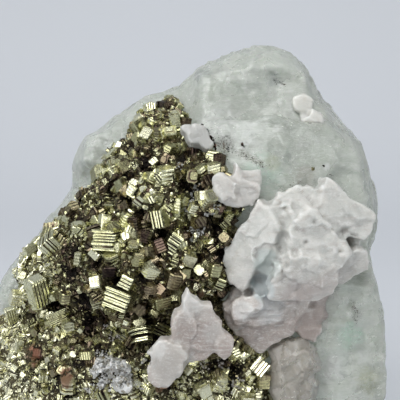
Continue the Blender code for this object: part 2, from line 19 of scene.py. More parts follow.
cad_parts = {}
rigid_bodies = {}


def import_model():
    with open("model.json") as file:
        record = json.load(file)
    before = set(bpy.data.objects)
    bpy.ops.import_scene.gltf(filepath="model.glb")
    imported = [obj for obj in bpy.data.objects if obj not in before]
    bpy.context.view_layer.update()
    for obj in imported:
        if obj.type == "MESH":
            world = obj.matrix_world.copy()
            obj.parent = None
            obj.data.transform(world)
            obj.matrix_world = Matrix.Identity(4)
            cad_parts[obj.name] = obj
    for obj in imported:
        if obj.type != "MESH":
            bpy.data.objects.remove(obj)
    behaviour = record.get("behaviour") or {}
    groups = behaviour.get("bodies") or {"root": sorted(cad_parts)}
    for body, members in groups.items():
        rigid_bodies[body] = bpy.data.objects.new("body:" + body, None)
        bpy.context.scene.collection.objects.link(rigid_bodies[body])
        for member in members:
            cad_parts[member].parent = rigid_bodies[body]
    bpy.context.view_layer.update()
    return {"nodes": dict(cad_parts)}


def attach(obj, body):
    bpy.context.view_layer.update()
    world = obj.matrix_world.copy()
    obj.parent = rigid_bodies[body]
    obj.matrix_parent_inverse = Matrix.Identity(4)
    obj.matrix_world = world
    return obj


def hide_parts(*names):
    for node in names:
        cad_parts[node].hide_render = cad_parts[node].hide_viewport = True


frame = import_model()

bl_info = {
    "name": "Fluorite with pyrite",
    "version": (1, 0, 0),
    "blender": (4, 5, 0),
    "location": "3D View > Sidebar > Specimen",
    "description": "Builds the surfaces of a fluorite specimen with pyrite and carbonate",
    "category": "Object",
}

MM = 0.001
MOVE = np.array((0.409, 2.899, 0.0))
BODY = "root"
MERGE = 1e-7

# View
LENS = 75.0
SENSOR = 36.0
AIM = (5.0, 0.0, 46.0)
AIM_HEIGHT_ANGLE = 10.0
FRAME_WIDTH = 80.0

# Swellings of the pyrite bed: centre and radii
BED_LUMPS = {
    "peak": ((-0.4, -10.0, 58.0), (4.3, 8.5, 8.4)),
    "peak_left": ((-3.0, -10.5, 59.4), (4.0, 7.5, 6.0)),
    "peak_side": ((4.0, -14.0, 55.0), (4.8, 9.0, 5.6)),
    "upper": ((-3.2, -11.0, 49.5), (11.2, 14.0, 11.5)),
    "upper_right": ((6.4, -15.0, 50.0), (5.4, 11.5, 8.0)),
    "beside_blades": ((7.4, -16.0, 40.5), (5.6, 10.5, 10.5)),
    "over_blades": ((10.4, -16.5, 48.2), (3.6, 8.5, 4.6)),
    "upper_left": ((-12.8, -9.0, 43.2), (6.8, 11.0, 7.8)),
    "centre": ((-7.0, -12.0, 37.0), (17.5, 16.5, 13.0)),
    "left": ((-20.0, -7.5, 30.6), (11.4, 13.0, 10.6)),
    "lower": ((-12.0, -11.0, 14.0), (21.0, 18.5, 19.0)),
    "lower_right": ((6.5, -12.0, 16.0), (14.0, 17.0, 20.0)),
    "far_left": ((-30.5, -4.5, 12.0), (10.5, 13.5, 17.5)),
    "foot_right": ((12.5, -14.0, 5.0), (9.5, 13.5, 13.5)),
}

# Hollows between the pyrite crystals: x, z, radius and depth. Their depth also paints shade on the
# pyrite.
BED_HOLLOWS = [
    (-21.5, 30.1, 1.5, 3.0), (-15.9, 31.8, 1.5, 3.0), (-8.8, 36.8, 1.1, 2.4),
    (-16.7, 45.6, 1.4, 2.6), (-1.2, 24.4, 1.9, 3.0), (-18.3, 17.4, 1.5, 2.7),
    (-26.2, 26.7, 1.4, 2.4), (-1.4, 43.9, 1.3, 2.4), (3.8, 52.0, 1.5, 2.9),
    (-8.7, 50.1, 1.1, 2.2), (-4.4, 56.0, 1.0, 2.2), (1.8, 57.2, 1.0, 1.9),
    (4.1, 30.6, 1.4, 2.4), (9.3, 41.0, 1.5, 2.6), (11.6, 20.6, 1.3, 2.3),
    (-24.6, 23.0, 1.4, 2.2), (-12.6, 39.8, 1.0, 2.0), (-5.1, 47.6, 1.0, 2.2),
    (-3.8, 29.6, 1.4, 2.4), (-11.8, 48.0, 1.0, 1.9), (-14.8, 28.5, 1.2, 2.2),
    (-4.6, 37.6, 1.0, 2.0), (7.8, 44.8, 1.2, 2.3), (6.4, 47.0, 1.0, 2.0),
]

# Larger pyrite crystals: kind, x, z, width, height along its own axis, then its roll in the
# picture's plane, pitch towards the front and spin about its axis in degrees, and its tone
# from brown through brassy to pale
LARGE_SUNK = 0.26
LARGE_CRYSTALS = [
    ("striated", -21.3, 41.8, 3.2, 3.4, 54, 10, 20, 0.80),
    ("fluted", -24.0, 33.0, 3.2, 5.0, -7, 17, 38, 0.72),
    ("ledged", -10.6, 43.9, 4.2, 3.4, 2, -6, -19, 0.76),
    ("plates", -10.0, 41.0, 2.8, 2.4, -8, 22, 30, 0.62),
    ("block", -10.2, 39.0, 2.4, 1.8, 2, 6, 8, 0.02),
    ("block", -12.5, 36.8, 2.3, 1.8, 76, 5, -29, 1.00),
    ("striated", -8.4, 34.3, 4.8, 3.2, 18, -4, -18, 0.76),
    ("block", -11.5, 46.3, 1.9, 2.3, 8, -14, 30, 0.90),
    ("block", -15.6, 40.4, 1.5, 2.2, 6, -15, -32, 0.90),
    ("block", -12.8, 41.5, 1.6, 1.9, 130, 4, 20, 1.00),
    ("block", -7.5, 46.9, 2.2, 2.2, 24, 12, 30, 0.75),
    ("block", -5.9, 46.5, 2.4, 2.4, -12, 8, 50, 0.20),
    ("striated", -7.2, 45.4, 2.2, 1.4, -46, 4, 6, 0.82),
    ("striated", -1.8, 47.2, 3.4, 2.2, 76, 14, -10, 0.78),
    ("striated", 0.2, 43.1, 2.5, 3.4, 35, -10, 16, 0.78),
    ("block", -1.7, 42.6, 2.4, 2.4, -25, -26, 12, 0.10),
    ("plates", -6.1, 42.9, 2.0, 1.4, 8, 26, 20, 0.90),
    ("pyritohedron", -5.4, 40.8, 2.1, 2.1, 10, 14, 12, 0.50),
    ("chip", -3.0, 39.2, 3.6, 3.8, 22, 18, 28, 0.90),
    ("striated", -7.3, 37.2, 2.4, 2.1, 24, -6, -15, 0.85),
    ("fluted", 0.7, 34.1, 1.6, 2.4, 4, -38, -17, 0.85),
    ("block", -1.5, 33.4, 2.8, 2.1, -6, 14, 20, 0.58),
    ("block", 0.3, 37.3, 2.7, 2.7, 22, 6, 30, 0.36),
    ("pyritohedron", -3.4, 35.9, 1.9, 1.9, 4, 8, 8, 0.30),
    ("block", -4.4, 44.3, 2.4, 2.2, 12, -18, 35, 0.06),
    ("block", -4.1, 60.9, 2.1, 2.0, 24, -11, -31, 1.00),
    ("sliver", -3.2, 62.8, 2.2, 1.1, 20, 20, 10, 0.90),
    ("block", 0.4, 63.3, 1.9, 2.4, -5, 8, 10, 0.85),
    ("block", 2.2, 62.7, 2.2, 1.7, 4, -8, 40, 0.25),
    ("sliver", -2.4, 59.9, 2.8, 1.3, 26, 24, 12, 0.72),
    ("pyritohedron", -2.6, 61.2, 1.5, 1.5, 10, 8, 30, 0.50),
    ("pyritohedron", -0.3, 58.6, 2.0, 1.8, 24, 8, 10, 0.60),
    ("block", -2.9, 56.6, 1.2, 1.3, 45, -3, -16, 1.00),
    ("ledged", -0.9, 54.6, 2.4, 2.6, 2, 12, 24, 0.92),
    ("block", 7.4, 57.2, 2.3, 2.0, 12, -9, -27, 0.86),
    ("block", 7.3, 55.4, 2.5, 2.3, -12, 7, 20, 0.92),
    ("block", 8.3, 56.3, 2.0, 3.0, 6, -10, 55, 0.15),
    ("plates", 5.5, 55.2, 2.2, 2.1, -30, 22, 20, 0.74),
    ("block", -6.6, 52.1, 1.6, 1.6, 32, 11, -20, 0.95),
    ("striated", -5.4, 50.4, 1.5, 1.7, 42, 10, 10, 0.92),
    ("block", -3.0, 50.5, 1.4, 1.2, 60, 3, -13, 0.92),
    ("pyritohedron", 2.4, 50.2, 1.7, 2.1, 10, 6, 40, 0.62),
    ("block", 3.9, 49.2, 1.5, 1.5, 24, 20, 30, 0.96),
    ("sliver", -5.0, 53.6, 2.4, 0.9, -52, 10, 10, 0.90),
    ("fluted", -20.1, 28.3, 2.0, 3.4, 64, 6, 22, 0.86),
    ("plates", -5.4, 26.2, 4.2, 2.6, -12, -32, 8, 0.84),
    ("striated", -2.1, 26.9, 2.6, 2.3, 30, -4, 12, 0.66),
    ("block", 3.8, 23.2, 1.7, 1.6, 20, 12, 24, 0.98),
    ("block", 2.5, 23.8, 1.4, 1.4, -22, 10, 18, 0.90),
    ("block", 3.1, 21.4, 1.6, 1.4, 36, 13, -31, 0.98),
    ("striated", 15.6, 20.3, 3.0, 2.6, -58, -27, 25, 0.90),
    ("block", 15.9, 18.1, 2.5, 2.5, 6, -16, 30, 0.08),
    ("fluted", -27.7, 22.9, 1.5, 2.3, 6, 12, 20, 0.78),
    ("block", 7.5, 38.7, 1.9, 2.1, 12, 4, 24, 0.64),
    ("striated", 8.4, 36.1, 1.7, 1.9, 26, 4, 14, 0.70),
    ("block", -11.5, 26.8, 1.3, 0.9, 24, 24, 12, 1.00),
    ("block", -9.4, 28.7, 1.4, 1.0, -14, 4, 36, 0.96),
    ("block", -7.8, 28.8, 1.2, 0.9, 20, 7, -14, 1.00),
    ("block", -16.2, 45.0, 2.4, 1.6, 8, 24, 22, 0.90),
    ("block", -18.6, 32.9, 1.7, 1.9, 6, 8, 34, 0.52),
    ("pyritohedron", -21.0, 32.2, 1.6, 1.6, 4, 8, 20, 0.70),
    ("striated", 12.6, 15.4, 2.6, 2.8, 20, 6, 30, 0.70),
    ("block", 5.6, 18.2, 2.4, 2.4, -18, 12, 20, 0.75),
    ("plates", -17.6, 18.8, 2.8, 2.2, 12, 14, 20, 0.60),
    ("block", -28.6, 30.6, 2.6, 2.4, 20, 10, 24, 0.70),
    ("fluted", -30.6, 26.2, 2.2, 2.8, -10, 8, 24, 0.70),
]

# White carbonate blades: outline (x, z) seen from the front, middle y, thickness, and turn
# about X and Z in degrees
CLUSTER_BLADES = {
    "left": (
        [(15.0, 50.4), (13.9, 48.0), (11.8, 44.9), (9.9, 42.3), (8.9, 40.6), (9.1, 38.0),
         (10.4, 36.0), (12.5, 34.8), (14.0, 35.6), (15.4, 38.6), (17.6, 42.0), (18.8, 44.5),
         (18.9, 47.3), (17.6, 49.5)],
        -25.2, 3.8, -8, -24),
    "ridge": (
        [(16.6, 49.2), (18.2, 51.4), (19.1, 50.7), (20.3, 52.1), (21.4, 52.5), (22.9, 52.4),
         (24.6, 52.1), (26.4, 50.0), (26.9, 45.8), (23.9, 42.3), (20.5, 42.3), (17.0, 45.8)],
        -23.6, 3.6, -16, 2),
    "right": (
        [(26.2, 54.3), (28.1, 53.3), (29.5, 51.1), (30.8, 49.8), (33.2, 48.6), (35.2, 47.2),
         (35.0, 46.2), (34.0, 44.7), (32.5, 42.9), (31.0, 43.2), (28.1, 44.3), (25.6, 45.8),
         (24.4, 48.9), (25.0, 52.2)],
        -23.4, 3.8, -12, 14),
    "right_rim": (
        [(28.6, 51.6), (30.8, 49.8), (35.2, 47.2), (34.9, 46.0), (31.2, 46.6), (28.4, 49.0)],
        -23.8, 2.4, -24, 24),
    "front": (
        [(20.0, 46.8), (22.1, 49.4), (23.8, 49.8), (25.7, 47.7), (27.5, 45.2), (29.4, 43.7),
         (30.2, 41.6), (29.8, 40.6), (28.1, 39.1), (28.3, 36.3), (27.6, 34.8), (26.4, 33.9),
         (24.2, 33.5), (20.3, 33.7), (17.6, 33.9), (16.5, 34.5), (17.1, 36.3), (18.3, 39.5),
         (19.0, 43.0)],
        -26.6, 4.0, 4, 6),
    "shell": (
        [(19.6, 42.1), (24.6, 42.0), (27.4, 39.5), (27.7, 36.9), (26.8, 35.1), (24.0, 34.3),
         (23.1, 35.6), (20.8, 38.0), (19.2, 38.8)],
        -28.1, 1.8, 10, 10),
    "edge": (
        [(18.5, 40.6), (19.0, 39.2), (18.2, 36.5), (17.0, 34.3), (16.4, 34.7), (16.5, 36.5),
         (17.3, 38.7)],
        -27.6, 2.4, 4, -30),
    "right_middle": (
        [(30.2, 42.0), (33.4, 41.8), (34.4, 39.6), (34.1, 37.9), (31.6, 36.9), (29.5, 35.4),
         (27.6, 36.3), (27.4, 40.0)],
        -23.0, 3.8, 8, 14),
    "window": (
        [(14.1, 41.8), (14.7, 42.9), (17.4, 43.1), (18.3, 42.0), (18.5, 40.0), (17.6, 38.3),
         (16.0, 38.0), (14.3, 38.7)],
        -26.6, 1.8, 8, -6),
    "filler": (
        [(14.2, 46.6), (17.4, 49.6), (20.4, 50.2), (22.4, 45.0), (20.6, 38.0), (17.2, 36.4),
         (14.8, 40.0)], -24.9, 3.6, 2, -8),
    "inner": (
        [(11.6, 44.0), (14.0, 47.4), (22.0, 50.0), (29.0, 48.0), (32.0, 44.0), (31.0, 38.0),
         (24.0, 34.2), (15.0, 34.6), (11.0, 37.6)], -20.6, 5.0, 0, 0),
    "ribbon": (
        [(14.2, 38.4), (17.8, 38.0), (17.2, 34.6), (16.2, 33.0), (14.3, 33.4), (13.6, 35.8)],
        -24.6, 2.8, 0, 6),
    "lump": (
        [(10.1, 31.0), (10.3, 32.8), (12.9, 34.0), (14.6, 34.3), (16.1, 33.3), (15.5, 31.7),
         (13.8, 30.8), (12.7, 29.8), (10.8, 29.9)],
        -26.6, 3.0, -14, -8),
    "step": (
        [(10.4, 31.0), (14.7, 34.0), (20.6, 34.2), (20.4, 32.0), (19.5, 30.1), (18.2, 28.6),
         (15.8, 28.7), (14.1, 28.3), (10.8, 29.2)],
        -25.4, 2.6, -10, 6),
    "triangle": (
        [(9.0, 31.6), (9.0, 29.7), (10.6, 27.6), (12.1, 26.0), (13.7, 24.2), (15.7, 23.1),
         (16.9, 23.8), (18.6, 25.5), (19.9, 27.7), (21.3, 30.2), (20.8, 33.0), (14.1, 33.6)],
        -24.4, 2.8, 10, 2),
    "triangle_arm": (
        [(16.9, 24.4), (18.6, 25.3), (21.4, 26.5), (21.0, 27.6), (19.9, 27.2), (23.5, 31.3),
         (24.4, 33.4), (22.0, 33.6), (19.6, 29.4), (17.2, 26.2)],
        -24.4, 2.0, 6, 12),
    "joining": (
        [(12.0, 36.0), (14.2, 38.0), (18.6, 38.4), (24.8, 35.0), (25.4, 32.0), (21.7, 29.6),
         (14.9, 27.6), (10.5, 28.6), (9.6, 31.4)],
        -22.6, 3.4, 0, 2),
    "shadowed": (
        [(21.6, 29.4), (24.0, 31.4), (26.6, 31.0), (26.4, 27.3), (25.2, 24.5), (23.2, 25.0),
         (21.9, 26.8), (21.3, 27.6)],
        -22.4, 3.2, 4, 16),
    "side_sheet": (
        [(24.0, 33.2), (27.7, 33.6), (29.3, 34.6), (29.4, 31.6), (28.4, 28.0), (27.2, 26.0),
         (26.0, 26.4), (25.6, 29.6)],
        -20.8, 3.0, 4, 20),
}
WEDGE_BLADES = {
    "wedge": (
        [(1.6, 62.3), (3.0, 63.0), (5.0, 62.8), (6.4, 61.1), (7.4, 59.4), (6.9, 58.4),
         (5.0, 58.8), (3.4, 59.3), (2.6, 60.2)], -20.9, 3.2, -18, 8),
    "root": ([(3.2, 61.8), (6.2, 60.4), (6.6, 58.2), (3.6, 58.6)], -18.6, 4.6, 0, 0),
}
FAN_BLADES = {
    "low": (
        [(7.6, 53.0), (9.4, 54.4), (12.0, 54.2), (15.0, 53.2), (14.8, 51.0), (13.8, 49.6),
         (11.5, 48.9), (8.8, 49.4), (7.5, 51.0)], -24.6, 2.6, -4, 4),
    "left": (
        [(7.2, 54.3), (8.7, 55.2), (10.1, 54.7), (11.4, 53.6), (11.4, 51.0), (9.2, 50.2),
         (7.3, 51.6)], -25.6, 2.0, -10, -14),
    "spike": ([(10.4, 54.6), (11.2, 56.5), (12.0, 55.0), (12.4, 52.4), (10.4, 52.0)],
              -24.4, 1.8, -8, 10),
    "bands": (
        [(11.6, 54.9), (15.3, 55.2), (15.4, 53.3), (15.0, 51.2), (14.0, 49.8), (11.6, 51.0)],
        -23.4, 2.4, -12, 14),
    "root": ([(9.0, 53.4), (14.0, 53.8), (13.4, 50.2), (9.6, 50.2)], -22.2, 4.6, 0, 0),
}
LOWER_BLADES = {
    "triangle": (
        [(2.9, 36.2), (4.0, 35.1), (5.1, 33.7), (6.1, 34.0), (6.9, 33.4), (8.0, 31.4),
         (8.9, 29.4), (8.6, 27.2), (7.4, 25.6), (4.1, 25.9), (0.9, 27.0), (0.4, 27.9),
         (0.1, 30.1), (0.6, 31.9), (1.6, 33.1), (1.9, 34.8)],
        -29.6, 3.0, 4, 6),
    "lobe": (
        [(7.4, 26.7), (8.2, 27.9), (9.7, 28.1), (10.8, 27.4), (10.8, 26.2), (10.1, 24.4),
         (8.9, 24.0), (7.8, 24.8)],
        -29.2, 2.8, 4, 14),
    "rhomb": (
        [(-0.9, 27.8), (1.9, 26.8), (3.2, 25.9), (3.1, 24.8), (2.2, 23.8), (2.2, 21.9),
         (0.4, 19.8), (-2.4, 19.6), (-3.4, 20.6), (-3.5, 22.0), (-3.5, 25.5), (-2.5, 27.1)],
        -30.6, 3.4, -4, -8),
    "root": ([(0.0, 27.6), (5.0, 28.6), (8.6, 26.8), (6.0, 23.6), (1.0, 23.0)],
        -28.4, 4.2, 0, 0),
}
PAIR_BLADES = {
    "upper": (
        [(21.5, 65.6), (22.0, 67.0), (23.7, 67.6), (25.2, 67.0), (25.6, 65.6), (24.9, 64.2),
         (22.6, 64.0)], -12.2, 2.4, -14, 4),
    "lower": (
        [(22.9, 63.4), (24.4, 63.9), (25.0, 64.7), (26.4, 64.4), (27.3, 62.7), (26.7, 60.9),
         (24.4, 61.2), (23.2, 62.3)], -14.2, 2.6, -14, 10),
    "root": ([(22.8, 65.0), (25.2, 65.2), (25.8, 62.2), (23.8, 62.2)], -11.6, 4.4, 0, 0),
}
DRUSE_BLADES = {
    "bed": (
        [(-13.0, 20.4), (-12.0, 22.2), (-10.9, 21.2), (-9.4, 22.7), (-7.8, 22.0), (-7.2, 20.6),
         (-6.2, 19.0), (-7.8, 17.8), (-9.6, 19.0), (-11.6, 18.4)],
        -26.6, 2.8, -4, -4),
    "left_knob": ([(-13.6, 21.4), (-12.6, 22.6), (-11.6, 21.6), (-12.6, 20.6)], -28.4, 2.4, 12, -14),
    "top_knob": ([(-11.2, 22.4), (-10.2, 23.1), (-9.4, 22.0), (-10.4, 21.4)], -28.4, 2.4, -16, 10),
    "right_knob": ([(-8.7, 22.8), (-7.5, 22.7), (-7.2, 21.4), (-8.4, 21.4)], -28.3, 2.0, -10, 16),
    "low_knob": (
        [(-9.5, 19.8), (-8.2, 20.5), (-6.4, 19.6), (-6.8, 18.1), (-8.4, 17.9), (-9.3, 18.7)],
        -28.8, 2.6, 8, 6),
    "foot_knob": ([(-12.2, 19.4), (-11.0, 19.3), (-10.8, 18.1), (-11.9, 17.7)], -28.3, 2.2, 14, -8),
}

# Patches of colour on the white blades: x, z, radius, how strong, and colour. The brown-grey ones at
# (23.6, 28.0), (27.0, 31.0), (21.4, 34.8) and (26.4, 35.4) are painted shade on the cluster's lower
# right.
CARBONATE_PATCHES_AND_SHADE = [
    (16.3, 40.2, 2.9, 0.75, (0.42, 0.47, 0.45)), (15.6, 35.6, 2.6, 0.70, (0.40, 0.46, 0.47)),
    (17.0, 31.6, 3.4, 0.50, (0.46, 0.49, 0.50)), (4.6, 60.8, 4.6, 0.75, (0.38, 0.385, 0.37)),
    (24.4, 65.0, 4.6, 0.80, (0.57, 0.57, 0.53)), (11.4, 52.2, 5.4, 0.45, (0.53, 0.50, 0.47)),
    (-9.6, 20.4, 5.6, 0.95, (0.80, 0.79, 0.76)), (0.0, 23.6, 5.0, 0.45, (0.50, 0.51, 0.48)),
    (23.6, 28.0, 3.4, 0.60, (0.34, 0.28, 0.25)), (12.6, 31.8, 2.2, 0.55, (0.62, 0.63, 0.62)),
    (3.6, 34.0, 2.6, 0.55, (0.62, 0.62, 0.60)), (-2.6, 26.4, 2.2, 0.60, (0.62, 0.62, 0.60)),
    (7.4, 28.6, 2.2, 0.40, (0.56, 0.555, 0.53)), (27.0, 31.0, 3.6, 0.45, (0.36, 0.30, 0.27)),
    (21.4, 34.8, 3.4, 0.60, (0.43, 0.385, 0.365)), (26.4, 35.4, 2.6, 0.35, (0.47, 0.43, 0.41)),
]

# Steps on the front of a surface: the line (x, z) they follow, their height, how far back
# from the line they fade, and the width of the step itself. The side to the left of the
# line's run is raised.
CLUSTER_STEPS = [
    ([(13.9, 39.8), (14.2, 42.5), (15.9, 43.7), (18.2, 43.5)], 0.60, 1.2, 0.18),
    ([(18.4, 40.6), (17.0, 37.4), (16.5, 33.8)], 0.70, 2.6, 0.18),
    ([(9.9, 46.4), (12.9, 44.2), (14.6, 44.8), (16.8, 47.4)], 0.30, 3.0, 0.18),
    ([(19.0, 49.4), (21.6, 46.0), (25.6, 46.6), (29.6, 43.4)], 0.32, 3.0, 0.18),
    ([(27.8, 40.6), (25.2, 38.4), (25.6, 35.6)], 0.28, 2.4, 0.18),
    ([(18.8, 38.8), (21.6, 39.8), (24.8, 38.6)], 0.20, 2.6, 0.18),
    ([(20.0, 36.6), (23.0, 37.2), (26.0, 36.0)], 0.22, 2.0, 0.18),
    ([(11.6, 31.4), (14.6, 32.0), (18.0, 31.8), (20.4, 32.4)], 0.34, 0.9, 0.16),
    ([(12.0, 30.3), (15.4, 30.9), (20.2, 30.6)], 0.30, 0.8, 0.16),
    ([(11.8, 29.3), (15.0, 29.7), (19.6, 29.5)], 0.24, 0.7, 0.16),
]
FAN_STEPS = [
    ([(11.4, 54.2), (15.4, 54.4)], 0.22, 0.5, 0.2), ([(11.2, 53.4), (15.4, 53.6)], 0.22, 0.5, 0.2),
    ([(10.8, 52.6), (15.2, 52.8)], 0.22, 0.5, 0.2), ([(10.4, 51.8), (15.0, 51.9)], 0.20, 0.5, 0.2),
]
CLUSTER_PITS = [
    (18.9, 49.4, 0.75, 1.0), (22.7, 43.9, 0.35, 0.6), (25.2, 49.2, 0.7, 0.5),
    (29.4, 45.0, 0.8, 0.8), (31.0, 44.2, 0.6, 0.6), (17.6, 45.4, 0.4, 0.5),
    (24.0, 47.2, 0.4, 0.5), (14.9, 36.4, 1.2, 1.0), (28.6, 42.2, 0.5, 0.7),
]

# Steps on the front of the fluorite, in the same form
FLUORITE_STEPS = [
    ([(8.6, 69.6), (10.6, 71.0), (14.0, 71.8), (18.6, 71.9), (23.4, 70.6)], 0.26, 3.2, 0.5),
    ([(26.6, 68.4), (24.0, 69.6), (19.0, 69.4), (13.8, 67.6)], 0.20, 2.4, 0.5),
    ([(31.2, 32.6), (32.6, 29.4), (32.8, 26.0), (31.4, 22.0)], 0.6, 2.4, 0.5),
    ([(37.2, 20.6), (38.4, 17.4), (38.6, 12.0)], 0.7, 2.6, 0.5),
    ([(9.0, 66.2), (10.6, 62.4), (14.6, 60.4)], 0.22, 3.0, 0.5),
    ([(34.8, 54.0), (30.6, 55.6), (27.6, 59.6)], 0.28, 3.0, 0.5),
    ([(18.4, 57.8), (22.0, 56.2), (26.6, 57.4)], 0.24, 2.6, 0.5),
]
FLUORITE_PITS = [
    (31.9, 31.2, 0.8, 1.0), (32.9, 29.2, 0.5, 0.6), (19.3, 69.8, 0.9, 0.3),
    (24.0, 53.6, 0.6, 0.5), (9.7, 63.8, 0.6, 0.3), (11.6, 63.2, 0.5, 0.3),
]

# Patches of colour on the front of the fluorite, in the same form
FLUORITE_PATCHES = [
    (17.0, 62.0, 14.0, 0.70, (0.46, 0.49, 0.44)), (20.0, 73.6, 5.0, 0.35, (0.62, 0.68, 0.60)),
    (-16.5, 57.0, 9.0, 0.45, (0.70, 0.74, 0.70)), (15.6, 54.6, 4.6, 0.75, (0.56, 0.71, 0.61)),
    (23.6, 53.6, 2.6, 0.55, (0.50, 0.47, 0.43)), (18.3, 70.0, 1.9, 0.75, (0.30, 0.33, 0.31)),
    (31.9, 25.2, 3.4, 0.85, (0.54, 0.74, 0.61)), (35.6, 16.5, 3.4, 0.80, (0.46, 0.48, 0.34)),
    (28.6, 19.2, 3.4, 0.85, (0.82, 0.83, 0.80)), (33.0, 29.2, 1.7, 0.70, (0.36, 0.38, 0.36)),
    (30.0, 12.4, 4.5, 0.60, (0.68, 0.72, 0.67)), (9.0, 62.8, 4.0, 0.55, (0.74, 0.75, 0.73)),
    (28.0, 64.8, 3.2, 0.45, (0.52, 0.53, 0.44)), (9.6, 59.3, 2.1, 0.80, (0.24, 0.24, 0.22)),
    (12.6, 59.0, 1.0, 0.80, (0.16, 0.17, 0.15)), (12.2, 57.6, 1.2, 0.70, (0.20, 0.21, 0.16)),
    (13.4, 57.2, 1.0, 0.80, (0.17, 0.18, 0.12)), (14.5, 56.8, 1.0, 0.80, (0.17, 0.18, 0.12)),
    (15.5, 56.3, 1.0, 0.75, (0.20, 0.21, 0.14)), (17.4, 56.2, 2.0, 0.60, (0.44, 0.44, 0.30)),
    (27.4, 55.2, 0.9, 0.80, (0.88, 0.89, 0.88)), (13.4, 61.0, 3.0, 0.60, (0.76, 0.77, 0.75)),
    (35.0, 40.0, 3.0, 0.45, (0.50, 0.52, 0.44)), (37.4, 10.4, 2.6, 0.50, (0.50, 0.52, 0.42)),
    (34.2, 21.0, 1.8, 0.60, (0.78, 0.80, 0.77)), (31.0, 8.0, 3.0, 0.45, (0.60, 0.70, 0.62)),
    (5.9, 70.6, 2.2, 0.65, (0.42, 0.46, 0.41)), (5.6, 67.6, 1.6, 0.50, (0.44, 0.48, 0.43)),
]

# Lines of dark grains and single grains on the fluorite: path (x, z), count, size, spread, tone
FLUORITE_SPECKS = [
    ([(4.9, 61.9), (5.6, 62.1), (6.2, 61.4), (6.9, 60.2), (7.7, 59.0), (7.6, 57.8)],
     90, 0.42, 0.10, 0.02),
    ([(7.8, 59.4), (9.2, 59.6), (10.4, 58.4), (9.0, 58.0)], 150, 0.15, 0.50, 0.12),
    ([(12.3, 59.3), (12.6, 58.8)], 14, 0.30, 0.07, 0.02),
    ([(11.6, 57.7), (13.2, 57.5), (14.8, 56.4), (16.6, 55.5)], 120, 0.13, 0.26, 0.18),
    ([(24.7, 55.0), (24.8, 54.9)], 5, 0.46, 0.08, 0.55),
    ([(26.7, 55.4), (26.8, 55.3)], 4, 0.46, 0.08, 0.02),
    ([(18.4, 70.0), (19.6, 69.6), (20.8, 69.2)], 44, 0.15, 0.20, 0.12),
    ([(31.7, 31.8), (32.2, 30.6), (33.0, 29.2), (32.8, 27.6)], 60, 0.15, 0.24, 0.10),
    ([(27.6, 54.4), (28.6, 53.2), (29.2, 52.4)], 16, 0.15, 0.3, 0.12),
    ([(20.0, 51.0), (22.0, 53.4)], 10, 0.18, 0.5, 0.2),
]

# White and grey dust on the pyrite: x, z, radius
DUST_SPOTS = [
    (-12.8, 23.0, 2.4), (-9.6, 20.0, 5.6), (-13.6, 17.4, 2.0), (6.2, 50.6, 3.0), (3.0, 49.8, 2.4),
    (1.6, 55.1, 1.0), (5.2, 26.2, 2.0), (8.8, 22.2, 2.2), (11.8, 17.8, 2.2), (-11.2, 26.4, 1.6),
    (6.0, 22.4, 1.6), (4.4, 44.6, 1.6),
]

# Red-brown stains on the pyrite: x, z and radius
STAINS = [(-25.0, 21.7, 1.6), (-18.2, 20.0, 1.5), (-1.6, 17.4, 1.4), (5.2, 33.4, 0.8)]

# The middle of the sugary white patch: x and z
SUGARY_MIDDLE = (-9.6, 20.4)

# Pyrite: the dark end of its colours, which the painted shade of grooves and hollows reaches, its
# brightest glare, and what dulls it
PYRITE_DARKS = (
    (0.0, (0.018, 0.012, 0.011)), (0.14, (0.090, 0.062, 0.048)), (0.36, (0.245, 0.208, 0.130)))
PYRITE_GLARE = (0.80, 0.79, 0.58)
PYRITE_TARNISH = (0.21, 0.20, 0.095)
PYRITE_SPECK = (0.10, 0.075, 0.05)
PYRITE_STAIN = (0.17, 0.065, 0.035)
# The ground between the crystals: painted shade, near black in the hollows.
GROUND_DARK = (0.012, 0.009, 0.007)
GROUND_LIGHT = (0.12, 0.10, 0.055)
# GROUND_LEFT is painted light on the ground towards the left.
GROUND_LEFT = (0.17, 0.15, 0.09)

# Wisps, grains and frost in the clear crystal
CLEAR_WISP = (0.82, 0.80, 0.75)
CLEAR_GRAIN = (0.50, 0.44, 0.40)
CLEAR_FROST = (0.80, 0.82, 0.79)

# How much light bends in each mineral, and how quickly it is taken up
FLUORITE_IOR = 1.434
CARBONATE_IOR = 1.6
CLEAR_IOR = 1.54
FLUORITE_DENSITY = 14.0
CLEAR_DENSITY = 16.0

# Blades: their sheets' lips, bevels and least thickness for a third sheet, how much a sheet
# shrinks, the length of an edge's chips, and the rings that close a sheet's faces
SHEET_LIP = 0.22
SHEET_BEVEL = 0.16
THREE_SHEETS_FROM = 2.9
SHEET_SHARE = 0.97
CHIP_LENGTH = 1.1
CAP_RINGS = (1.0, 0.72, 0.44, 0.18)
CARBONATE_PIECES = ("cluster_blades", "wedge_blades", "fan_blades", "lower_blades", "pair_blades",
                    "druse_bed", "clear_body")

# Ridged pyrite crystals: least number of ridges, ridge height, cut corner, groove, how far a
# ridge shifts, and the side that stays plain
RIDGED = {
    "striated": (3, 0.52, 0.05, 0.10, 1, None),
    "ledged": (3, 0.60, 0.07, 0.19, 1, (-1, -0.4)),
    "plates": (2, 0.62, 0.22, 0.20, 2, None),
}

# Scattered crystals: smallest and largest size in millimetres, tilt in radians, darkest and
# palest tone
MIDDLING = ((0.85, 2.5), 1.2, (0.22, 1.05))
FINE = ((0.38, 1.15), 1.6, (0.10, 0.90))
SUGAR = ((0.35, 1.10), 1.3, (0.0, 1.0))
DUST = ((0.20, 0.55), 1.5, (0.0, 1.0))
SUGAR_SPACING = 0.42

# How sharply a face has to turn to the front to carry the front's relief, and the height
# above the foot where crystals begin
FRONT_GAIN = 1.4
CRYSTALS_FROM = 0.9

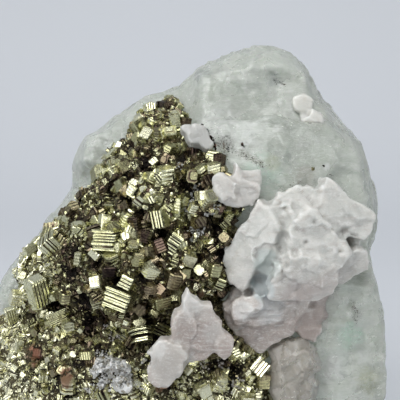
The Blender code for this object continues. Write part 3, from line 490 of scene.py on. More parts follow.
# Studio: the floor's ends, the curve up to the back, and its height and half width
FLOOR_FRONT = -700.0
CURVE_START = 220.0
CURVE_RADIUS = 240.0
CURVE_STEPS = 12
BACK_TOP = 1300.0
FLOOR_HALF_WIDTH = 1300.0
CLIP_START = 0.005
WORLD_DIM = (0.030, 0.031, 0.033)
WORLD_BRIGHT = (0.42, 0.43, 0.46)

# Lights: name, place, width and the setting that holds its power
LIGHTS = (
    ("key_light", (-50.0, -170.0, 320.0), 260.0, "key"),
    ("side_light", (-240.0, -280.0, 110.0), 200.0, "side"),
    ("fill_light", (260.0, -220.0, 70.0), 200.0, "fill"),
)

HASH_STEPS = np.array((374761393, 668265263, 1440662683))
HASH_SEED = 982451653
HASH_MIX = 1274126177
HASH_BITS = 0x7FFFFFFF


def chance_at(cells, seed):
    """One repeatable number from 0 to 1 for each whole-number cell."""
    key = cells.astype(np.int64) @ HASH_STEPS + seed * HASH_SEED
    key = (key ^ (key >> 13)) & HASH_BITS
    key = (key * HASH_MIX) & HASH_BITS
    key = key ^ (key >> 16)
    return (key & 0xFFFF) / 0xFFFF


def wobble(points, size, seed):
    """Smooth noise from -1 to 1 at each point, its humps about this size."""
    scaled = points / size
    cells = np.floor(scaled).astype(np.int64)
    share = scaled - cells
    share = share * share * (3 - 2 * share)
    total = np.zeros(len(points))
    for corner in np.ndindex(2, 2, 2):
        corner = np.array(corner)
        weight = np.prod(np.where(corner == 1, share, 1 - share), axis=1)
        total += weight * chance_at(cells + corner, seed)
    return 2 * total - 1


def smooth_step(values, low, high):
    share = np.clip((values - low) / (high - low), 0, 1)
    return share * share * (3 - 2 * share)


def terraced(values, width):
    """A quick rise and a slow fall for each whole number."""
    share = values - np.floor(values)
    return smooth_step(share, 0.0, width) - share


def stepped(points, size, seed):
    """How far each point lies from the middle of its cubic step, in a turned lattice."""
    turn = np.array(Euler((0.5 + seed, 0.9 * seed, 0.3 - seed)).to_matrix())
    turned = points @ turn.T / size
    share = turned - np.floor(turned) - 0.5
    return (-share * size) @ turn


def line_side(points, path):
    """Signed distance (left of the run is positive) and share along a path seen from the front."""
    nearest = np.full(len(points), np.inf)
    side = np.zeros(len(points))
    along = np.zeros(len(points))
    flat = points[:, (0, 2)]
    count = len(path) - 1
    for number in range(count):
        start = np.array(path[number])
        run = np.array(path[number + 1]) - start
        share = np.clip((flat - start) @ run / (run @ run), 0, 1)
        away = flat - start - share[:, None] * run
        distance = np.linalg.norm(away, axis=1)
        closer = distance < nearest
        nearest[closer] = distance[closer]
        side[closer] = (run[0] * away[:, 1] - run[1] * away[:, 0])[closer]
        along[closer] = ((number + share) / count)[closer]
    return nearest * np.sign(side), along


def step_push(points, steps, seed):
    """Outward push that raises one side of each step's line."""
    push = np.zeros(len(points))
    wander = 0.35 * wobble(points, 1.3, seed) + 0.12 * wobble(points, 0.5, seed + 1)
    for path, height, reach, width in steps:
        distance, along = line_side(points, path)
        distance = distance + wander
        raised = smooth_step(distance, -width / 2, width / 2) * np.exp(-np.abs(distance) / reach)
        ends = smooth_step(along, 0.0, 0.12) * smooth_step(1 - along, 0.0, 0.12)
        push += height * raised * ends
    return push


def pit_push(points, pits):
    """Inward push of each pit, negative."""
    push = np.zeros(len(points))
    for x, z, radius, depth in pits:
        away = (points[:, 0] - x) ** 2 + (points[:, 2] - z) ** 2
        push -= depth * np.exp(-away / radius ** 2)
    return push


def places_of(mesh, kind="co"):
    values = np.empty(len(mesh.vertices) * 3, np.float32)
    mesh.vertices.foreach_get(kind, values)
    return values.reshape(-1, 3).astype(float)


def points_of(mesh):
    """The mesh's corners in layout millimetres."""
    return places_of(mesh) / MM - MOVE


def set_points(mesh, points):
    mesh.vertices.foreach_set("co", ((points + MOVE) * MM).astype(np.float32).ravel())
    mesh.update()


def swell(obj, amount):
    """Moves every corner out along its normal by this many millimetres."""
    set_points(obj.data, points_of(obj.data) + places_of(obj.data, "normal") * amount)


def facing_front(normals):
    """How far each normal turns to the front, from 0 to 1."""
    return np.clip(-normals[:, 1] * FRONT_GAIN, 0, 1)


@contextmanager
def edited(mesh):
    """The mesh opened for editing, and written back at the end."""
    bm = bmesh.new()
    bm.from_mesh(mesh)
    yield bm
    bm.to_mesh(mesh)
    bm.free()


def metres(point):
    """A layout point as a place in the part."""
    return Vector((np.array(point) + MOVE) * MM)


def link_new(name, mesh):
    made = bpy.data.objects.new(name, mesh)
    bpy.context.scene.collection.objects.link(made)
    return made


def mesh_from(name, points, faces, placed=True):
    """A mesh from layout points, or from bare millimetres where it isn't placed yet."""
    mesh = bpy.data.meshes.new(name)
    points = np.asarray(points, float)
    if placed:
        points = points + MOVE
    mesh.from_pydata((points * MM).tolist(), [], faces)
    return mesh


def settle(obj):
    """Makes the object's modifiers part of its mesh."""
    graph = bpy.context.evaluated_depsgraph_get()
    graph.update()
    mesh = bpy.data.meshes.new_from_object(obj.evaluated_get(graph))
    old = obj.data
    obj.modifiers.clear()
    obj.data = mesh
    bpy.data.meshes.remove(old)
    mesh.name = obj.name


def add_modifier(obj, kind, **settings):
    made = obj.modifiers.new(kind.title(), kind)
    for name, value in settings.items():
        setattr(made, name, value)
    return made


def even_skin(obj, voxel, passes):
    """One closed skin of even faces round everything in the object."""
    add_modifier(obj, "REMESH", mode="VOXEL", voxel_size=voxel)
    if passes:
        add_modifier(obj, "SMOOTH", factor=0.5, iterations=passes)
    settle(obj)


def merged_copy(node, name):
    """A closed copy of a CAD node, its loose triangles joined."""
    mesh = frame["nodes"][node].data.copy()
    mesh.name = name
    mesh.materials.clear()
    with edited(mesh) as bm:
        bmesh.ops.remove_doubles(bm, verts=bm.verts, dist=MERGE)
    return link_new(name, mesh)


def surface_of(*names):
    """Something to cast rays at, for each named piece."""
    graph = bpy.context.evaluated_depsgraph_get()
    graph.update()
    return [BVHTree.FromObject(bpy.data.objects[name], graph) for name in names]


def camera_place():
    distance = FRAME_WIDTH / 2 / (SENSOR / 2 / LENS) * MM
    angle = math.radians(AIM_HEIGHT_ANGLE)
    return metres(AIM) + Vector((0.0, -math.cos(angle), math.sin(angle))) * distance


def front_hit(surfaces, x, z):
    """The first place met from the front at this x and z, as layout point and normal."""
    start = metres((x, -60.0, z))
    best = None
    for surface in surfaces:
        place, normal, _, distance = surface.ray_cast(start, Vector((0, 1, 0)))
        if place is not None and (best is None or distance < best[2]):
            best = (np.array(place) / MM - MOVE, np.array(normal), distance)
    return best[:2] if best else None


def store_edges(obj):
    """How far each corner stands out (positive) or lies in a groove, in millimetres."""
    mesh = obj.data
    ends = np.empty(len(mesh.edges) * 2, np.int32)
    mesh.edges.foreach_get("vertices", ends)
    first, second = ends.reshape(-1, 2).T
    count = np.bincount(np.concatenate([first, second]), minlength=len(mesh.vertices))

    def evened(values):
        total = [np.bincount(first, values[second, part], len(values))
                 + np.bincount(second, values[first, part], len(values))
                 for part in range(values.shape[1])]
        return np.stack(total, 1) / count[:, None]

    at = points_of(mesh)
    proud = ((at - evened(at)) * places_of(mesh, "normal")).sum(1)
    # The edge value drives painted highlights on standing corners and painted shade in grooves.
    set_attribute(mesh, "edge", "FLOAT", evened(proud[:, None]))


def finish_piece(obj, material, slot, *nodes, smooth=True):
    obj.data.materials.clear()
    obj.data.materials.append(material)
    obj.data.polygons.foreach_set("use_smooth", [smooth] * len(obj.data.polygons))
    obj.data.update()
    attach(obj, BODY)
    if nodes:
        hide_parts(*nodes)


def discard(objects):
    for old in objects:
        bpy.data.objects.remove(old, do_unlink=True)


class Wire:
    """A node's output that takes part in plain arithmetic."""

    def __init__(self, builder, socket):
        self.builder = builder
        self.socket = socket

    def of(self, name):
        """Another output of the same node."""
        return Wire(self.builder, self.socket.node.outputs[name])

    def maths(self, operation, left, right):
        return self.builder.node("ShaderNodeMath", {"operation": operation}, {0: left, 1: right})

    def __add__(self, other):
        return self.maths("ADD", self, other)

    def __mul__(self, other):
        return self.maths("MULTIPLY", self, other)

    def __sub__(self, other):
        return self.maths("SUBTRACT", self, other)

    def __rsub__(self, other):
        return self.maths("SUBTRACT", other, self)

    def __rtruediv__(self, other):
        return self.maths("DIVIDE", other, self)

    def __pow__(self, other):
        return self.maths("POWER", self, other)

    __radd__ = __add__


class Builder:
    """Makes the nodes of one tree."""

    def __init__(self, tree):
        self.tree = tree

    def node(self, kind, settings=None, sockets=None, output=0):
        made = self.tree.nodes.new(kind)
        for name, value in (settings or {}).items():
            if name == "stops":
                self.set_stops(made.color_ramp, value)
            else:
                setattr(made, name, value)
        for name, value in (sockets or {}).items():
            if isinstance(value, Wire):
                self.tree.links.new(value.socket, made.inputs[name])
            else:
                made.inputs[name].default_value = value
        return Wire(self, made.outputs[output]) if made.outputs else made

    def set_stops(self, ramp, stops):
        while len(ramp.elements) < len(stops):
            ramp.elements.new(1.0)
        for element, (place, colour) in zip(ramp.elements, stops):
            element.position = place
            element.color = (*colour, 1.0)

    def place(self):
        """Where a point is, in millimetres of the part."""
        spot = self.node("ShaderNodeTexCoord", output="Object")
        return self.node("ShaderNodeVectorMath", {"operation": "SCALE"}, {0: spot, "Scale": 1 / MM})

    def mapped(self, vector, turn=(0, 0, 0), scale=(1, 1, 1)):
        angles = [math.radians(angle) for angle in turn]
        return self.node("ShaderNodeMapping", {},
                         {"Vector": vector, "Rotation": angles, "Scale": scale})

    def noise(self, vector, size, detail=3.0, roughness=0.5, distortion=0.0):
        return self.node(
            "ShaderNodeTexNoise", {},
            {"Vector": vector, "Scale": 1 / size, "Detail": detail, "Roughness": roughness,
             "Distortion": distortion})

    def cells(self, vector, size, output="Distance"):
        return self.node("ShaderNodeTexVoronoi", {}, {"Vector": vector, "Scale": 1 / size}, output)

    def attribute(self, name, output="Fac"):
        return self.node("ShaderNodeAttribute", {"attribute_name": name}, {}, output)

    def part(self, vector, axis):
        return self.node("ShaderNodeSeparateXYZ", {}, {"Vector": vector}, axis)

    def absorption(self, colour, density):
        return self.node("ShaderNodeVolumeAbsorption", {},
                         {"Color": (*colour, 1.0), "Density": density})

    def between(self, value, low, high):
        """The value's smooth rise from low to high."""
        return self.node("ShaderNodeMapRange", {"interpolation_type": "SMOOTHSTEP"},
                         {"Value": value, "From Min": low, "From Max": high})

    def blend(self, factor, first, second):
        """One colour turning into another."""
        made = self.tree.nodes.new("ShaderNodeMix")
        made.data_type = "RGBA"
        for index, value in ((0, factor), (6, first), (7, second)):
            if isinstance(value, Wire):
                self.tree.links.new(value.socket, made.inputs[index])
            elif index == 0:
                made.inputs[index].default_value = value
            else:
                made.inputs[index].default_value = (*value, 1.0)
        return Wire(self, made.outputs[2])

    def bump(self, height, depth, strength=1.0, below=None):
        sockets = {"Height": height, "Distance": depth, "Strength": strength}
        if below is not None:
            sockets["Normal"] = below
        return self.node("ShaderNodeBump", {}, sockets)

    def vector(self, operation, first, second, output=0):
        return self.node("ShaderNodeVectorMath", {"operation": operation},
                         {0: first, 1: second}, output)

    def facets(self, place, size, strength, below=None):
        """Relief of small flat faces, each tilted its own way."""
        lean = self.cells(place, size, "Color")
        away = self.vector("SUBTRACT", place, lean.of("Position"))
        tilt = self.vector("SUBTRACT", lean, (0.5, 0.5, 0.5))
        return self.bump(self.vector("DOT_PRODUCT", away, tilt, "Value"), MM, strength, below)

    def line(self, field, middle, width):
        """Thin lines where the field passes its middle value."""
        away = field - middle
        return self.between(away.maths("ABSOLUTE", away, 0.0), width, 0.0)

    def apart(self, vector, x, z):
        """Distance from a line that runs to the back at this layout x and z."""
        flat = self.vector("MULTIPLY", vector, (1, 0, 1))
        spot = (x + float(MOVE[0]), 0, z + float(MOVE[2]))
        return self.vector("DISTANCE", flat, spot, "Value")

    def washes(self, tint, rows):
        """The tint under washes of colour, each where its value rises from low to high."""
        for value, low, high, strength, colour in rows:
            tint = self.blend(self.between(value, low, high) * strength, tint, colour)
        return tint

    def patched(self, place, tint, patches, drift, raggedness, core):
        """The tint under patches of colour, ragged by the drift and solid inside the core."""
        for x, z, radius, strength, colour in patches:
            away = self.apart(place, x, z) + (drift - 0.5) * (radius * raggedness)
            cover = self.between(away, radius, radius * core) * strength
            tint = self.blend(cover, tint, colour)
        return tint


def new_material(name):
    made = bpy.data.materials.new(name)
    made.use_nodes = True
    made.node_tree.nodes.clear()
    return made, Builder(made.node_tree)


def surface(builder, volume=None, **sockets):
    """The material's surface. Underscores in a socket's name stand for spaces."""
    named = {name.replace("_", " "): value for name, value in sockets.items()}
    shader = builder.node("ShaderNodeBsdfPrincipled", {}, named)
    ends = {"Surface": shader}
    if volume is not None:
        ends["Volume"] = volume
    builder.node("ShaderNodeOutputMaterial", {}, ends)


def fluorite_material(look):
    made, b = new_material("cloudy_fluorite")
    place = b.place()
    cloud = b.noise(place, 11.0, 4, 0.55, 0.6)
    fog = b.noise(b.mapped(place, (20, 35, 10), (1, 1, 0.45)), 4.2, 6, 0.62, 1.2)
    wisp = b.noise(b.mapped(place, (-25, 12, 40), (0.5, 1, 1.6)), 2.3, 7, 0.65, 1.8)
    flake = b.noise(b.mapped(place, (0, 32, 0), (0.8, 1, 2.2)), 0.9, 5, 0.7, 0.6)
    frost = b.noise(place, 0.42, 4, 0.7)
    patch = b.noise(place, 6.5, 3, 0.5, 0.4)
    tint = b.blend(b.between(cloud, 0.36, 0.66), look.deep, look.pale)
    tint = b.patched(place, tint, FLUORITE_PATCHES, wisp, 1.6, 0.35)
    tint = b.washes(tint, ((fog, 0.44, 0.74, 0.48, look.milk), (wisp, 0.60, 0.66, 0.40, look.milk),
                           (wisp, 0.42, 0.22, 0.45, look.deep)))
    frosted = b.between(patch, 0.46, 0.60)
    fleck = b.between(flake, 0.57, 0.62) * (frosted * 0.65 + 0.35)
    tint = b.blend(fleck * 0.70, tint, look.milk)
    streak = b.noise(b.mapped(place, (15, 50, 0), (0.35, 1, 2.6)), 0.55, 5, 0.7, 0.8)
    tint = b.washes(tint, ((streak, 0.53, 0.60, 0.65, look.milk), (streak, 0.46, 0.40, 0.60, look.deep),
                           (flake, 0.42, 0.32, 0.35, look.deep)))
    vein = b.line(fog, 0.50, 0.010) + b.line(wisp, 0.47, 0.008)
    tint = b.blend(vein * 0.60, tint, look.milk)
    tint = b.blend(b.line(cloud, 0.52, 0.0035) * 0.50, tint, look.crack)
    # Painted highlight: corners that stand out are lightened towards milk, as if their edges caught the
    # light.
    edge = b.attribute("edge")
    tint = b.blend(b.between(edge, 0.010, 0.05) * 0.25, tint, look.milk)
    rough = 0.15 + frosted * 0.20 + b.between(fog, 0.35, 0.75) * 0.12 + fleck * 0.15
    relief = b.facets(place, 2.6, 0.30)
    relief = b.bump(b.noise(place, 1.7, 5, 0.6, 0.5), 0.00030, 0.45, relief)
    relief = b.facets(place, 0.9, 0.22, relief)
    relief = b.bump(frost * frosted, 0.00010, 0.6, relief)
    volume = b.absorption(look.depth, FLUORITE_DENSITY)
    surface(b, volume, Base_Color=tint, Roughness=rough, IOR=FLUORITE_IOR, Normal=relief,
            Transmission_Weight=0.42, Subsurface_Weight=0.35, Subsurface_Scale=0.002,
            Subsurface_Radius=(0.9, 1.0, 0.9))
    return made


def pyrite_material(look):
    made, b = new_material("striated_pyrite")
    place = b.place()
    tone = b.attribute("tone")
    shade = b.attribute("shade")
    grain = b.attribute("grain", "Vector")
    hollow = b.attribute("hollow")
    across = b.part(place, "X")
    # Painted light: lighter towards the left and towards the bottom.
    lighter = (b.between(across, -17.0, -32.0) * 0.60
               + b.between(across.of("Z"), 27.0, 13.0) * 0.58)
    mottle = b.noise(place, 0.7, 4, 0.6)
    fine = b.node("ShaderNodeTexWave", {"wave_type": "BANDS", "bands_direction": "Z"}, {
        "Vector": grain, "Scale": 0.62, "Distortion": 1.6, "Detail": 2.0, "Detail Scale": 1.2})
    # Painted shade: darker in the grooves of the fine striations, and where the shade attribute marks
    # grooves between ridges.
    groove = b.between(fine, 0.42, 0.22) * b.between(b.noise(place, 3.4, 2), 0.44, 0.60)
    # Painted shade: the deeper a place lies in a hollow, the darker.
    brightness = (tone + (mottle - 0.5) * 0.40 - groove * 0.20 - shade * 0.80
                  - hollow * 0.32 + lighter)
    stops = [*PYRITE_DARKS, (0.62, look.brassy), (0.85, look.pale), (1.0, PYRITE_GLARE)]
    tint = b.node("ShaderNodeValToRGB", {"stops": stops}, {"Fac": brightness})
    tarnish = b.between(b.noise(place, 2.4, 5, 0.65, 0.4), 0.50, 0.68)
    tint = b.blend(tarnish * 0.45, tint, PYRITE_TARNISH)
    speck = b.between(b.noise(place, 0.30, 3, 0.6), 0.58, 0.70)
    tint = b.blend(speck * 0.45, tint, PYRITE_SPECK)
    stain = 0.0
    for x, z, radius in STAINS:
        ragged_edge = b.apart(place, x, z) + (mottle - 0.5) * 2.2
        stain = stain + b.between(ragged_edge, radius * 1.15, radius * 0.55)
    stain = b.node("ShaderNodeClamp", {}, {"Value": stain})
    tint = b.blend(stain * 0.85, tint, PYRITE_STAIN)
    rough = 0.19 + b.between(mottle, 0.35, 0.75) * 0.14 + tarnish * 0.10 + stain * 0.30 + shade * 0.3
    relief = b.bump(fine, 0.00006, 0.5)
    relief = b.bump(b.noise(place, 0.22, 3, 0.6), 0.00005, 0.45, relief)
    relief = b.bump(mottle, 0.00012, 0.30, relief)
    surface(b, Base_Color=tint, Metallic=0.96 - stain * 0.55, Roughness=rough, Normal=relief)
    return made


def pyrite_ground_material(look):
    """Between the crystals: fine and duller, painted dark as shade, near black in the hollows."""
    made, b = new_material("pyrite_ground")
    place = b.place()
    mottle = b.noise(place, 1.1, 5, 0.65)
    hollow = b.attribute("hollow")
    # Painted shade: the ground stays near black in the hollows.
    open_part = b.between(hollow, 1.0, 0.2)
    glint = b.between(b.noise(place, 0.35, 3, 0.6), 0.56, 0.70) * open_part
    tint = b.blend(b.between(mottle, 0.35, 0.70) * open_part, GROUND_DARK, GROUND_LIGHT)
    tint = b.blend(glint * 0.5, tint, look.brassy)
    # Painted light: lighter towards the left.
    across = b.part(place, "X")
    tint = b.blend(b.between(across, -19.0, -32.0) * 0.5, tint, GROUND_LEFT)
    rough = 0.66 - glint * 0.30
    relief = b.bump(b.cells(place, 0.42), 0.00030, 0.8)
    relief = b.bump(b.noise(place, 0.25, 4, 0.7), 0.00015, 0.7, relief)
    surface(b, Base_Color=tint, Metallic=0.7, Roughness=rough, Normal=relief)
    return made


def carbonate_material(look):
    made, b = new_material("white_carbonate")
    place = b.place()
    height = b.part(place, "Z")
    cloud = b.noise(place, 5.0, 4, 0.55, 0.5)
    seam = b.noise(b.mapped(place, (12, 20, 30), (0.6, 1, 2.4)), 1.5, 6, 0.62, 0.7)
    grain = b.noise(place, 0.30, 4, 0.65)
    # Darker and rosier towards the bottom: painted shade where light from above falls less, with a rosy
    # tint.
    low = b.between(height + (cloud - 0.5) * 16.0, 44.0, 26.0)
    tint = b.blend(b.between(cloud, 0.38, 0.66), look.milk, look.white)
    tint = b.blend(low * 0.92, tint, look.rosy_and_low_shade)
    flaw = b.noise(b.mapped(place, (0, -28, 0), (0.7, 1, 2.0)), 1.1, 6, 0.7, 0.8)
    tint = b.washes(tint, ((seam, 0.54, 0.66, 0.35, look.rosy_and_low_shade), (flaw, 0.54, 0.60, 0.45, look.fleck_and_edge_highlight),
                           (flaw, 0.43, 0.38, 0.35, look.window), (grain, 0.54, 0.62, 0.40, look.fleck_and_edge_highlight)))
    # Some of the patches paint shade on the cluster's lower right.
    tint = b.patched(place, tint, CARBONATE_PATCHES_AND_SHADE, cloud, 1.0, 0.6)
    tint = b.blend(b.line(cloud, 0.50, 0.006) * 0.40, tint, look.window)
    layers = b.node("ShaderNodeTexWave", {"wave_type": "BANDS", "bands_direction": "Z"}, {
        "Vector": b.mapped(place, (18, 0, 14)), "Scale": 0.40, "Distortion": 5.0, "Detail": 3.0,
        "Detail Scale": 0.5, "Detail Roughness": 0.6})
    layered = b.between(b.noise(place, 4.0, 3), 0.50, 0.62) * (low * 0.75 + 0.25)
    tint = b.blend(b.between(layers, 0.80, 0.96) * layered * 0.30, tint, look.fleck_and_edge_highlight)
    tint = b.blend(b.between(layers, 0.22, 0.06) * layered * 0.22, tint, look.rosy_and_low_shade)
    # Painted highlight and shade: corners that stand out are lightened, corners lying in grooves
    # darkened.
    edge = b.attribute("edge")
    tint = b.washes(tint, ((edge, 0.014, 0.050, 0.28, look.fleck_and_edge_highlight),
                           (edge, -0.010, -0.045, 0.40, look.groove)))
    # Darker blotches among the sugary grains.
    sugary = b.between(b.apart(place, *SUGARY_MIDDLE), 6.5, 5.0)
    tint = b.blend(sugary * b.between(b.noise(place, 1.1, 4, 0.6), 0.50, 0.57) * 0.85, tint,
                   look.sugar_dark)
    rough = 0.34 + b.between(cloud, 0.35, 0.70) * 0.20 + b.between(grain, 0.5, 0.7) * 0.12
    relief = b.facets(b.mapped(place, (0, 24, 0), (0.8, 1, 1.5)), 2.6, 0.15)
    relief = b.facets(place, 0.7, 0.10, relief)
    relief = b.bump(layers * layered, 0.00010, 0.20, relief)
    relief = b.bump(seam, 0.00014, 0.25, relief)
    relief = b.bump(grain, 0.00010, 0.5, relief)
    surface(b, Base_Color=tint, Roughness=rough, IOR=CARBONATE_IOR, Normal=relief,
            Subsurface_Weight=0.95, Subsurface_Scale=0.0026, Subsurface_Radius=(1.0, 0.94, 0.90))
    return made


def clear_material(look):
    made, b = new_material("clear_crystal")
    place = b.place()
    haze = b.noise(place, 2.2, 5, 0.6, 1.0)
    grain = b.noise(place, 0.5, 5, 0.7)
    across = b.part(place, "X")
    tint = b.blend(b.between(haze, 0.35, 0.70), look.clear, look.clear_pale)
    wisp = b.noise(place, 1.2, 6, 0.7, 0.8)
    tint = b.blend(b.between(wisp, 0.55, 0.61) * 0.55, tint, CLEAR_WISP)
    frosted = b.between(across + (haze - 0.5) * 7.0, 24.5, 26.0)
    grainy = b.between(across + (haze - 0.5) * 8.0, 22.0, 18.0)
    tint = b.blend(grainy * b.between(grain, 0.40, 0.62) * 0.35, tint, CLEAR_GRAIN)
    tint = b.blend(frosted * b.between(grain, 0.36, 0.56) * 0.7, tint, CLEAR_FROST)
    rough = 0.12 + b.between(haze, 0.45, 0.72) * 0.22 + frosted * 0.25 + grainy * 0.20
    relief = b.facets(b.mapped(place, (0, 30, 0), (1.6, 1, 0.6)), 3.0, 0.60)
    relief = b.facets(place, 1.1, 0.35, relief)
    relief = b.bump(grain, 0.00015, 0.4, relief)
    volume = b.absorption(look.clear_depth, CLEAR_DENSITY)
    surface(b, volume, Base_Color=tint, Roughness=rough, IOR=CLEAR_IOR, Normal=relief,
            Transmission_Weight=0.62, Subsurface_Weight=0.3, Subsurface_Scale=0.003,
            Subsurface_Radius=(1.0, 0.97, 0.90))
    return made


def paper_material(look):
    """Plain matt paper that evens out its own shadows, less so towards the front."""
    made, b = new_material("pale_paper")
    place = b.place()
    drift = b.noise(place, 300.0, 2)
    tint = b.blend(drift, [part * 0.97 for part in look.paper], look.paper)
    depth = b.part(place, "Y")
    share = b.between(depth, -60.0, 20.0) * 0.62 + b.between(depth, 120.0, 420.0) * 0.38
    glow = b.blend(share, (0, 0, 0), look.paper)
    surface(b, Base_Color=tint, Roughness=0.85, Emission_Color=glow, Emission_Strength=look.glow)
    return made


def studio_world():
    """Soft light from behind and above, little from the front."""
    made = bpy.data.worlds.new("studio")
    made.use_nodes = True
    made.node_tree.nodes.clear()
    b = Builder(made.node_tree)
    towards = b.part(b.node("ShaderNodeTexCoord", output="Generated"), "Y")
    share = b.between(towards + towards.of("Z") * 0.5 - towards.of("X") * 0.45, -0.5, 0.6)
    tint = b.blend(share, WORLD_DIM, WORLD_BRIGHT)
    light = b.node("ShaderNodeBackground", {}, {"Color": tint})
    b.node("ShaderNodeOutputWorld", {}, {"Surface": light})
    return made


def cut_square(width, depth, cut):
    """A rectangle's outline with its corners cut off."""
    w, d = width / 2, depth / 2
    return [(w - cut, -d), (w, -d + cut), (w, d - cut), (w - cut, d),
            (-w + cut, d), (-w, d - cut), (-w, -d + cut), (-w + cut, -d)]


def fluted_square(width, flutes, groove):
    """A square outline whose sides are ridged."""
    half = width / 2
    side = []
    for number in range(flutes):
        start = -half + width * number / flutes
        side += [(start + width / flutes * 0.12, -half), (start + width / flutes * 0.62, -half),
                 (start + width / flutes * 0.85, -half + groove)]
    outline = []
    for turn in range(4):
        cos, sin = (1, 0, -1, 0)[turn], (0, 1, 0, -1)[turn]
        outline += [(x * cos - y * sin, x * sin + y * cos) for x, y in side]
    return outline


def wall(count, rings, start=0):
    """Four-sided faces from each ring of this many corners to the next."""
    faces = []
    for low in range(start, start + (rings - 1) * count, count):
        for corner in range(count):
            after = (corner + 1) % count
            faces.append((low + corner, low + after, low + count + after, low + count + corner))
    return faces


def stack(section, levels, plain_side=None):
    """A closed body: its section at each level (height, share, shift x, shift y, shade).

    The share leaves the corners on the plain side (a direction) as they are. The shade is
    painted shade that darkens the level's corners.
    """
    points, shades = [], []
    for height, share, shift_x, shift_y, shade in levels:
        for x, y in section:
            grooved = 1.0
            if plain_side and x * plain_side[0] + y * plain_side[1] > 0:
                grooved = 0.0
            scale = 1 - (1 - share) * grooved
            points.append((x * scale + shift_x, y * scale + shift_y, height))
            shades.append(shade * grooved)
    count = len(section)
    faces = [tuple(reversed(range(count))), *wall(count, len(levels))]
    top = (len(levels) - 1) * count
    faces.append(tuple(range(top, top + count)))
    return np.array(points), faces, np.array(shades)


def ridged_levels(height, ridges, groove, shift, chance):
    """Levels up a striated crystal: flat ridges with narrow grooves between them, darkened by painted
    shade.
    """
    shares = [chance.uniform(0.55, 1.6) for _ in range(ridges)]
    levels = []
    low = -height / 2
    for ridge in range(ridges):
        step = height * shares[ridge] / sum(shares)
        share = 1 - chance.uniform(0, groove)
        wide = chance.uniform(0.42, 0.72)
        x, y = chance.uniform(-shift, shift), chance.uniform(-shift, shift)
        levels += [(low, share, x, y, 0), (low + step * wide, share, x, y, 0)]
        if ridge < ridges - 1:
            levels += [(low + step * (wide + 0.06), share - groove, x, y, 1),
                       (low + step * 0.95, share - groove, x, y, 1)]
        low += step
    levels.append((height / 2, levels[-1][1] * 0.93, x, y, 0))
    return levels


def hull(points):
    """The convex body round the points."""
    bm = bmesh.new()
    corners = [bm.verts.new(point) for point in points]
    found = bmesh.ops.convex_hull(bm, input=corners)
    spare = set(found["geom_interior"]) | set(found["geom_unused"])
    bmesh.ops.delete(bm, geom=[item for item in spare if isinstance(item, bmesh.types.BMVert)])
    bmesh.ops.dissolve_limit(bm, angle_limit=0.02, verts=bm.verts, edges=bm.edges)
    bmesh.ops.recalc_face_normals(bm, faces=bm.faces)
    bm.verts.index_update()
    made = np.array([vertex.co[:] for vertex in bm.verts])
    faces = [tuple(vertex.index for vertex in face.verts) for face in bm.faces]
    bm.free()
    return made, faces, np.zeros(len(made))


def pyritohedron(width, height):
    """Twelve five-sided faces."""
    half, long, short = 0.46, 0.69, 0.345
    points = [(x * half, y * half, z * half) for x in (-1, 1) for y in (-1, 1) for z in (-1, 1)]
    for a in (-1, 1):
        for b in (-1, 1):
            points += [(0, a * long, b * short), (a * short, 0, b * long), (a * long, b * short, 0)]
    return hull([(x * width, y * width, z * height) for x, y, z in points])


def chip(width, height, chance, corners=11):
    """A broken crystal of a few flat faces."""
    points = []
    for _ in range(corners):
        spot = Vector([chance.gauss(0, 1) for _ in range(3)]).normalized()
        points.append((spot.x * width * 0.56, spot.y * width * 0.42, spot.z * height * 0.56))
    return hull(points)


def joined(first, second):
    """Two bodies as one."""
    points = np.concatenate([first[0], second[0]])
    faces = first[1] + [tuple(corner + len(first[0]) for corner in face) for face in second[1]]
    return points, faces, np.concatenate([first[2], second[2]])


